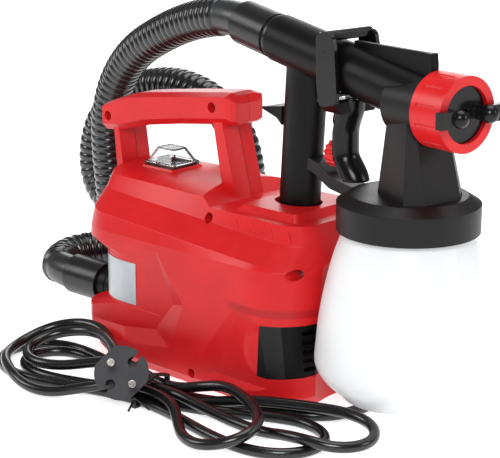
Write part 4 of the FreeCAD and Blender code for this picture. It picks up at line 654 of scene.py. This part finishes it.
cord = {
    "radius": 0.0035,
    "measured": 0.004,               # spacing of the points that its length is measured between
    "exit": (0.0, 0.0955, 0.015),
    "points": [
        # out of the strain relief, round behind the base and forward past its front
        (0.0, 0.07, 0.015), (0.0, 0.112, 0.015), (0.007, 0.144, 0.006), (0.03, 0.169, 0.0036),
        (0.066, 0.17, 0.0036), (0.097, 0.154, 0.0036), (0.117, 0.125, 0.0036), (0.123, 0.09, 0.0036),
        (0.122, 0.05, 0.0036),
        (0.124, 0.01, 0.0036), (0.129, -0.02, 0.0036), (0.126, -0.045, 0.0036), (0.114, -0.06, 0.0036),
        (0.098, -0.066, 0.0036), (0.08, -0.072, 0.0036), (0.06, -0.079, 0.0036), (0.042, -0.087, 0.0036),
        # first pass through the tie, wide loop to the left
        (0.025, -0.092, 0.0036), (0.009, -0.0925, 0.0036), (-0.014, -0.091, 0.0036), (-0.037, -0.086, 0.0036),
        (-0.059, -0.079, 0.0036), (-0.08, -0.076, 0.0036), (-0.101, -0.077, 0.0036), (-0.117, -0.086, 0.0036),
        (-0.124, -0.102, 0.0036), (-0.12, -0.12, 0.0036), (-0.106, -0.133, 0.0036), (-0.086, -0.139, 0.0036),
        (-0.065, -0.137, 0.0036), (-0.043, -0.13, 0.0036), (-0.018, -0.121, 0.0036),
        # second pass, loop to the right
        (0.009, -0.1155, 0.0036), (0.025, -0.1155, 0.0036), (0.041, -0.117, 0.0036), (0.058, -0.12, 0.0036),
        (0.078, -0.124, 0.0036), (0.099, -0.127, 0.0036), (0.121, -0.127, 0.0036), (0.139, -0.119, 0.0036),
        (0.149, -0.104, 0.0036), (0.148, -0.086, 0.0036), (0.135, -0.074, 0.0036), (0.116, -0.071, 0.0036),
        (0.098, -0.077, 0.0036), (0.08, -0.086, 0.0036), (0.061, -0.097, 0.0036), (0.041, -0.104, 0.0036),
        # third pass, inner loop to the left
        (0.025, -0.108, 0.0036), (0.009, -0.108, 0.0036), (-0.014, -0.111, 0.0036), (-0.033, -0.118, 0.0036),
        (-0.052, -0.125, 0.0036), (-0.072, -0.1285, 0.0036), (-0.091, -0.125, 0.0036), (-0.103, -0.113, 0.0036),
        (-0.103, -0.098, 0.0036), (-0.093, -0.086, 0.0036), (-0.076, -0.083, 0.0036), (-0.057, -0.087, 0.0036),
        (-0.036, -0.0945, 0.0036), (-0.013, -0.0995, 0.0036),
        # fourth pass, long loop to the right over the first
        (0.009, -0.1, 0.0036), (0.025, -0.0995, 0.0036), (0.041, -0.0955, 0.004), (0.059, -0.089, 0.007),
        (0.078, -0.08, 0.0108), (0.098, -0.071, 0.0115), (0.118, -0.062, 0.0115), (0.139, -0.055, 0.0115),
        (0.159, -0.056, 0.01), (0.172, -0.068, 0.0085), (0.174, -0.084, 0.008), (0.164, -0.098, 0.0085),
        (0.148, -0.1045, 0.011), (0.13, -0.104, 0.009), (0.11, -0.102, 0.0045), (0.088, -0.1015, 0.004),
        (0.066, -0.1035, 0.007), (0.042, -0.105, 0.011),
        # fifth pass, raised loop to the left
        (0.025, -0.104, 0.0103), (0.009, -0.104, 0.0103), (-0.01, -0.104, 0.0106), (-0.028, -0.097, 0.011),
        (-0.045, -0.084, 0.016), (-0.06, -0.076, 0.022), (-0.077, -0.0735, 0.024), (-0.095, -0.077, 0.022),
        (-0.108, -0.088, 0.018), (-0.113, -0.104, 0.013), (-0.109, -0.121, 0.011), (-0.098, -0.136, 0.011),
        (-0.08, -0.146, 0.0095), (-0.059, -0.151, 0.005), (-0.038, -0.147, 0.0038), (-0.02, -0.132, 0.008),
        (-0.006, -0.118, 0.011),
        # sixth pass, short loop to the right
        (0.009, -0.1117, 0.0103), (0.025, -0.1117, 0.0103), (0.038, -0.1145, 0.011), (0.053, -0.121, 0.011),
        (0.066, -0.131, 0.0065), (0.08, -0.141, 0.0044), (0.098, -0.144, 0.005), (0.114, -0.136, 0.009),
        (0.12, -0.122, 0.013), (0.113, -0.107, 0.015), (0.098, -0.097, 0.017), (0.08, -0.09, 0.0185),
        (0.062, -0.086, 0.018), (0.046, -0.088, 0.014), (0.035, -0.093, 0.0113),
        # last pass, small loop to the left and up into the plug
        (0.025, -0.0962, 0.0103), (0.009, -0.0962, 0.0103), (-0.006, -0.097, 0.0155), (-0.02, -0.103, 0.019),
        (-0.036, -0.112, 0.016), (-0.053, -0.121, 0.012), (-0.07, -0.127, 0.0108), (-0.087, -0.125, 0.011),
        (-0.099, -0.114, 0.0125), (-0.1, -0.099, 0.0155), (-0.09, -0.086, 0.019), (-0.074, -0.0815, 0.022),
        (-0.057, -0.084, 0.024), (-0.04, -0.092, 0.0255), (-0.021, -0.103, 0.0255), (-0.007, -0.113, 0.022),
        (0.003, -0.12, 0.02),
    ],
}

mainsCord = routeCurve("mains_cord_run", np.array(cord["points"]), cord["radius"])
mainsCord.data.materials.append(jacketGloss())
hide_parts("mains_cord", "mains_cord_hank")
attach(mainsCord, "base")
cordRun = centreLine(np.array(cord["points"]), cord["measured"])[1]
print("mains cord", round(float(cordRun[-1]), 3), "m")

shoulder = {
    "radius": 0.0006,
    "sides": 10,
    # how far along a rib, and the share of its radius there
    "profile": ((0.0, 0.05), (0.02, 0.5), (0.08, 0.85), (0.2, 1.0),
                (0.8, 1.0), (0.92, 0.85), (0.98, 0.5), (1.0, 0.05)),
    "ends": (                        # of the four small ribs on the near shoulder
        ((0.0299, -0.0417, 0.1139), (0.0346, -0.0434, 0.1086)),
        ((0.0448, -0.0418, 0.1139), (0.0494, -0.0435, 0.1074)),
        ((0.0606, -0.0421, 0.1137), (0.0649, -0.0437, 0.1063)),
        ((0.0751, -0.0415, 0.1133), (0.0789, -0.0411, 0.1054)),
    ),
}


def roundBars(name, ends, material):
    # half-sunk round bars with domed ends: rings along each straight line, swelling as a half circle at both
    # ends, and a point in the middle of each end
    run, swell = np.array(shoulder["profile"]).T
    sides = shoulder["sides"]
    column = np.arange(sides)
    beside = (column + 1) % sides
    lastRing = (len(run) - 1) * sides
    footPoint = lastRing + sides
    points, quads, triangles = [], [], []
    for number, (first, last) in enumerate(ends):
        used = number * (footPoint + 2)
        ring = carried(first + run[:, None] * (last - first), shoulder["radius"] * swell[:, None], sides)
        points += [ring.reshape(-1, 3), [first, last]]
        quads.append(gridFaces(len(run), sides)[:, ::-1] + used)
        foot = np.stack([np.full(sides, footPoint), beside, column], 1)
        head = np.stack([np.full(sides, footPoint + 1), lastRing + column, lastRing + beside], 1)
        triangles += [foot + used, head + used]
    faces = np.concatenate(quads).tolist() + np.concatenate(triangles).tolist()
    return meshPiece(name, np.concatenate(points), faces, material)


ribEnds = np.array(shoulder["ends"])
shoulderRibs = roundBars("shoulder_ribs", np.concatenate([ribEnds, ribEnds * (1, -1, 1)]), redShell)
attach(shoulderRibs, "base")

lever = {
    # the front line of the trigger in the gun's own frame, from its tip up to its pivot
    "heights": (0.1455, 0.148, 0.152, 0.156, 0.160, 0.166, 0.177, 0.183, 0.189, 0.1975),
    "fronts": (-0.0392, -0.0400, -0.0424, -0.0458, -0.0495, -0.0498, -0.0498, -0.0476, -0.0450, -0.0440),
    "halfWidth": 0.0096,
    "deep": 0.0098,
    "wall": 0.0014,
    "sweep": 95.0,                   # degrees that the skin reaches round to each side
    "rows": 40,
    "columns": 30,
}


def leverSkin():
    # the half-round finger side of the trigger: at each height an open half ellipse, x = front - deep + deep
    # cos a and y = halfWidth sin a, with the same arc one wall further in behind it, and the front line eased
    # between its marks
    height = np.linspace(lever["heights"][0], lever["heights"][-1], lever["rows"])
    front = np.interp(height, lever["heights"], lever["fronts"])
    for _ in range(3):
        front[1:-1] = (front[:-2] + 2 * front[1:-1] + front[2:]) / 4
    sweep = np.radians(np.linspace(-lever["sweep"], lever["sweep"], lever["columns"]))
    loops = []
    for inset, angle in ((0.0, sweep), (lever["wall"], sweep[::-1])):
        x = (front - lever["deep"])[:, None] + (lever["deep"] - inset) * np.cos(angle)[None]
        y = np.broadcast_to((lever["halfWidth"] - inset) * np.sin(angle)[None], x.shape)
        loops.append(np.stack([x, y, np.broadcast_to(height[:, None], x.shape)], -1))
    rings = gunPlace(np.concatenate(loops, 1))
    around = rings.shape[1]
    k = np.arange(lever["columns"] - 1)
    foot = np.stack([k, around - 1 - k, around - 2 - k, k + 1], -1)
    head = (len(height) - 1) * around + foot[:, ::-1]
    faces = np.concatenate([gridFaces(len(height), around), foot, head]).tolist()
    return meshPiece("trigger_lever_skin", rings.reshape(-1, 3), faces, blackGloss)


leverPiece = leverSkin()
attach(leverPiece, "trigger")
print("small mouldings made")

studio = {
    "floor": (tone(226, 226, 226), tone(222, 222, 223)),
    "reach": 16.0,                   # half of the floor's side
    "sunk": 0.0002,                  # the floor lies this far below the object
    "glow": 0.72,                    # the floor's own light, so that it looks white all over
    "sky": 0.22,
    "lamps": [                       # place, aim, size, power
        ((1.3, -1.6, 1.5), (0.02, -0.03, 0.10), 1.0, 32.0),
        ((-1.5, -1.3, 1.2), (0.0, 0.0, 0.10), 1.0, 13.0),
        ((0.1, 0.5, 2.0), (0.0, 0.0, 0.05), 1.8, 26.0),
        ((1.7, 0.9, 0.9), (0.05, 0.0, 0.12), 0.8, 6.0),
        ((-1.5, 1.7, 0.75), (0.0, 0.0, 0.12), 1.5, 12.0),
    ],
}


def paleFloor():
    material, start, shader = blank("pale_floor", {
        "Specular IOR Level": 0.2, "Emission Color": (1.0, 1.0, 1.0, 1.0),
        "Emission Strength": studio["glow"]})
    cloud = start.place().noise(3.0, 2.0)
    feed(shader, colour=cloud.mix(*studio["floor"]), roughness=0.6 + cloud * 0.1)
    return material


def aim(piece, place, target):
    # turned so that its minus z axis looks from place to target
    away = np.array(place) - np.array(target)
    flat = math.hypot(away[0], away[1])
    piece.location = place
    piece.rotation_euler = (math.atan2(flat, away[2]), 0.0, math.atan2(away[0], -away[1]))


corners = [(-1, -1), (1, -1), (1, 1), (-1, 1)]
floorMesh = bpy.data.meshes.new("studio_floor")
floorMesh.from_pydata([(x * studio["reach"], y * studio["reach"], -studio["sunk"]) for x, y in corners],
                      [], [(0, 1, 2, 3)])
floor = bpy.data.objects.new("studio_floor", floorMesh)
scene.collection.objects.link(floor)
wear(floor, paleFloor())

for number, (place, target, size, power) in enumerate(studio["lamps"]):
    lamp = bpy.data.lights.new("softbox_" + str(number), "AREA")
    lamp.shape = "DISK"
    lamp.size = size
    lamp.energy = power
    holder = bpy.data.objects.new(lamp.name, lamp)
    scene.collection.objects.link(holder)
    aim(holder, place, target)

world = bpy.data.worlds.new("studio_sky")
world.use_nodes = True
sky = next(node for node in world.node_tree.nodes if node.type == "BACKGROUND")
sky.inputs["Color"].default_value = (1.0, 1.0, 1.0, 1.0)
sky.inputs["Strength"].default_value = studio["sky"]
scene.world = world
scene.view_settings.view_transform = "Standard"

view = {
    "place": (0.7288, -0.7717, 0.3810),
    "turn": 43.2,
    "tilt": 15.2,                    # below level
    "lens": 115.2,
    "film": 36.0,
    "nearest": 0.05,
}

cameraData = bpy.data.cameras.new("photo_camera")
cameraData.sensor_width = view["film"]
cameraData.lens = view["lens"]
cameraData.clip_start = view["nearest"]
camera = bpy.data.objects.new("photo_camera", cameraData)
scene.collection.objects.link(camera)
camera.location = view["place"]
camera.rotation_euler = (math.radians(90 - view["tilt"]), 0.0, math.radians(view["turn"]))
scene.camera = camera
print("floor, lamps and camera set")

bpy.context.view_layer.update()
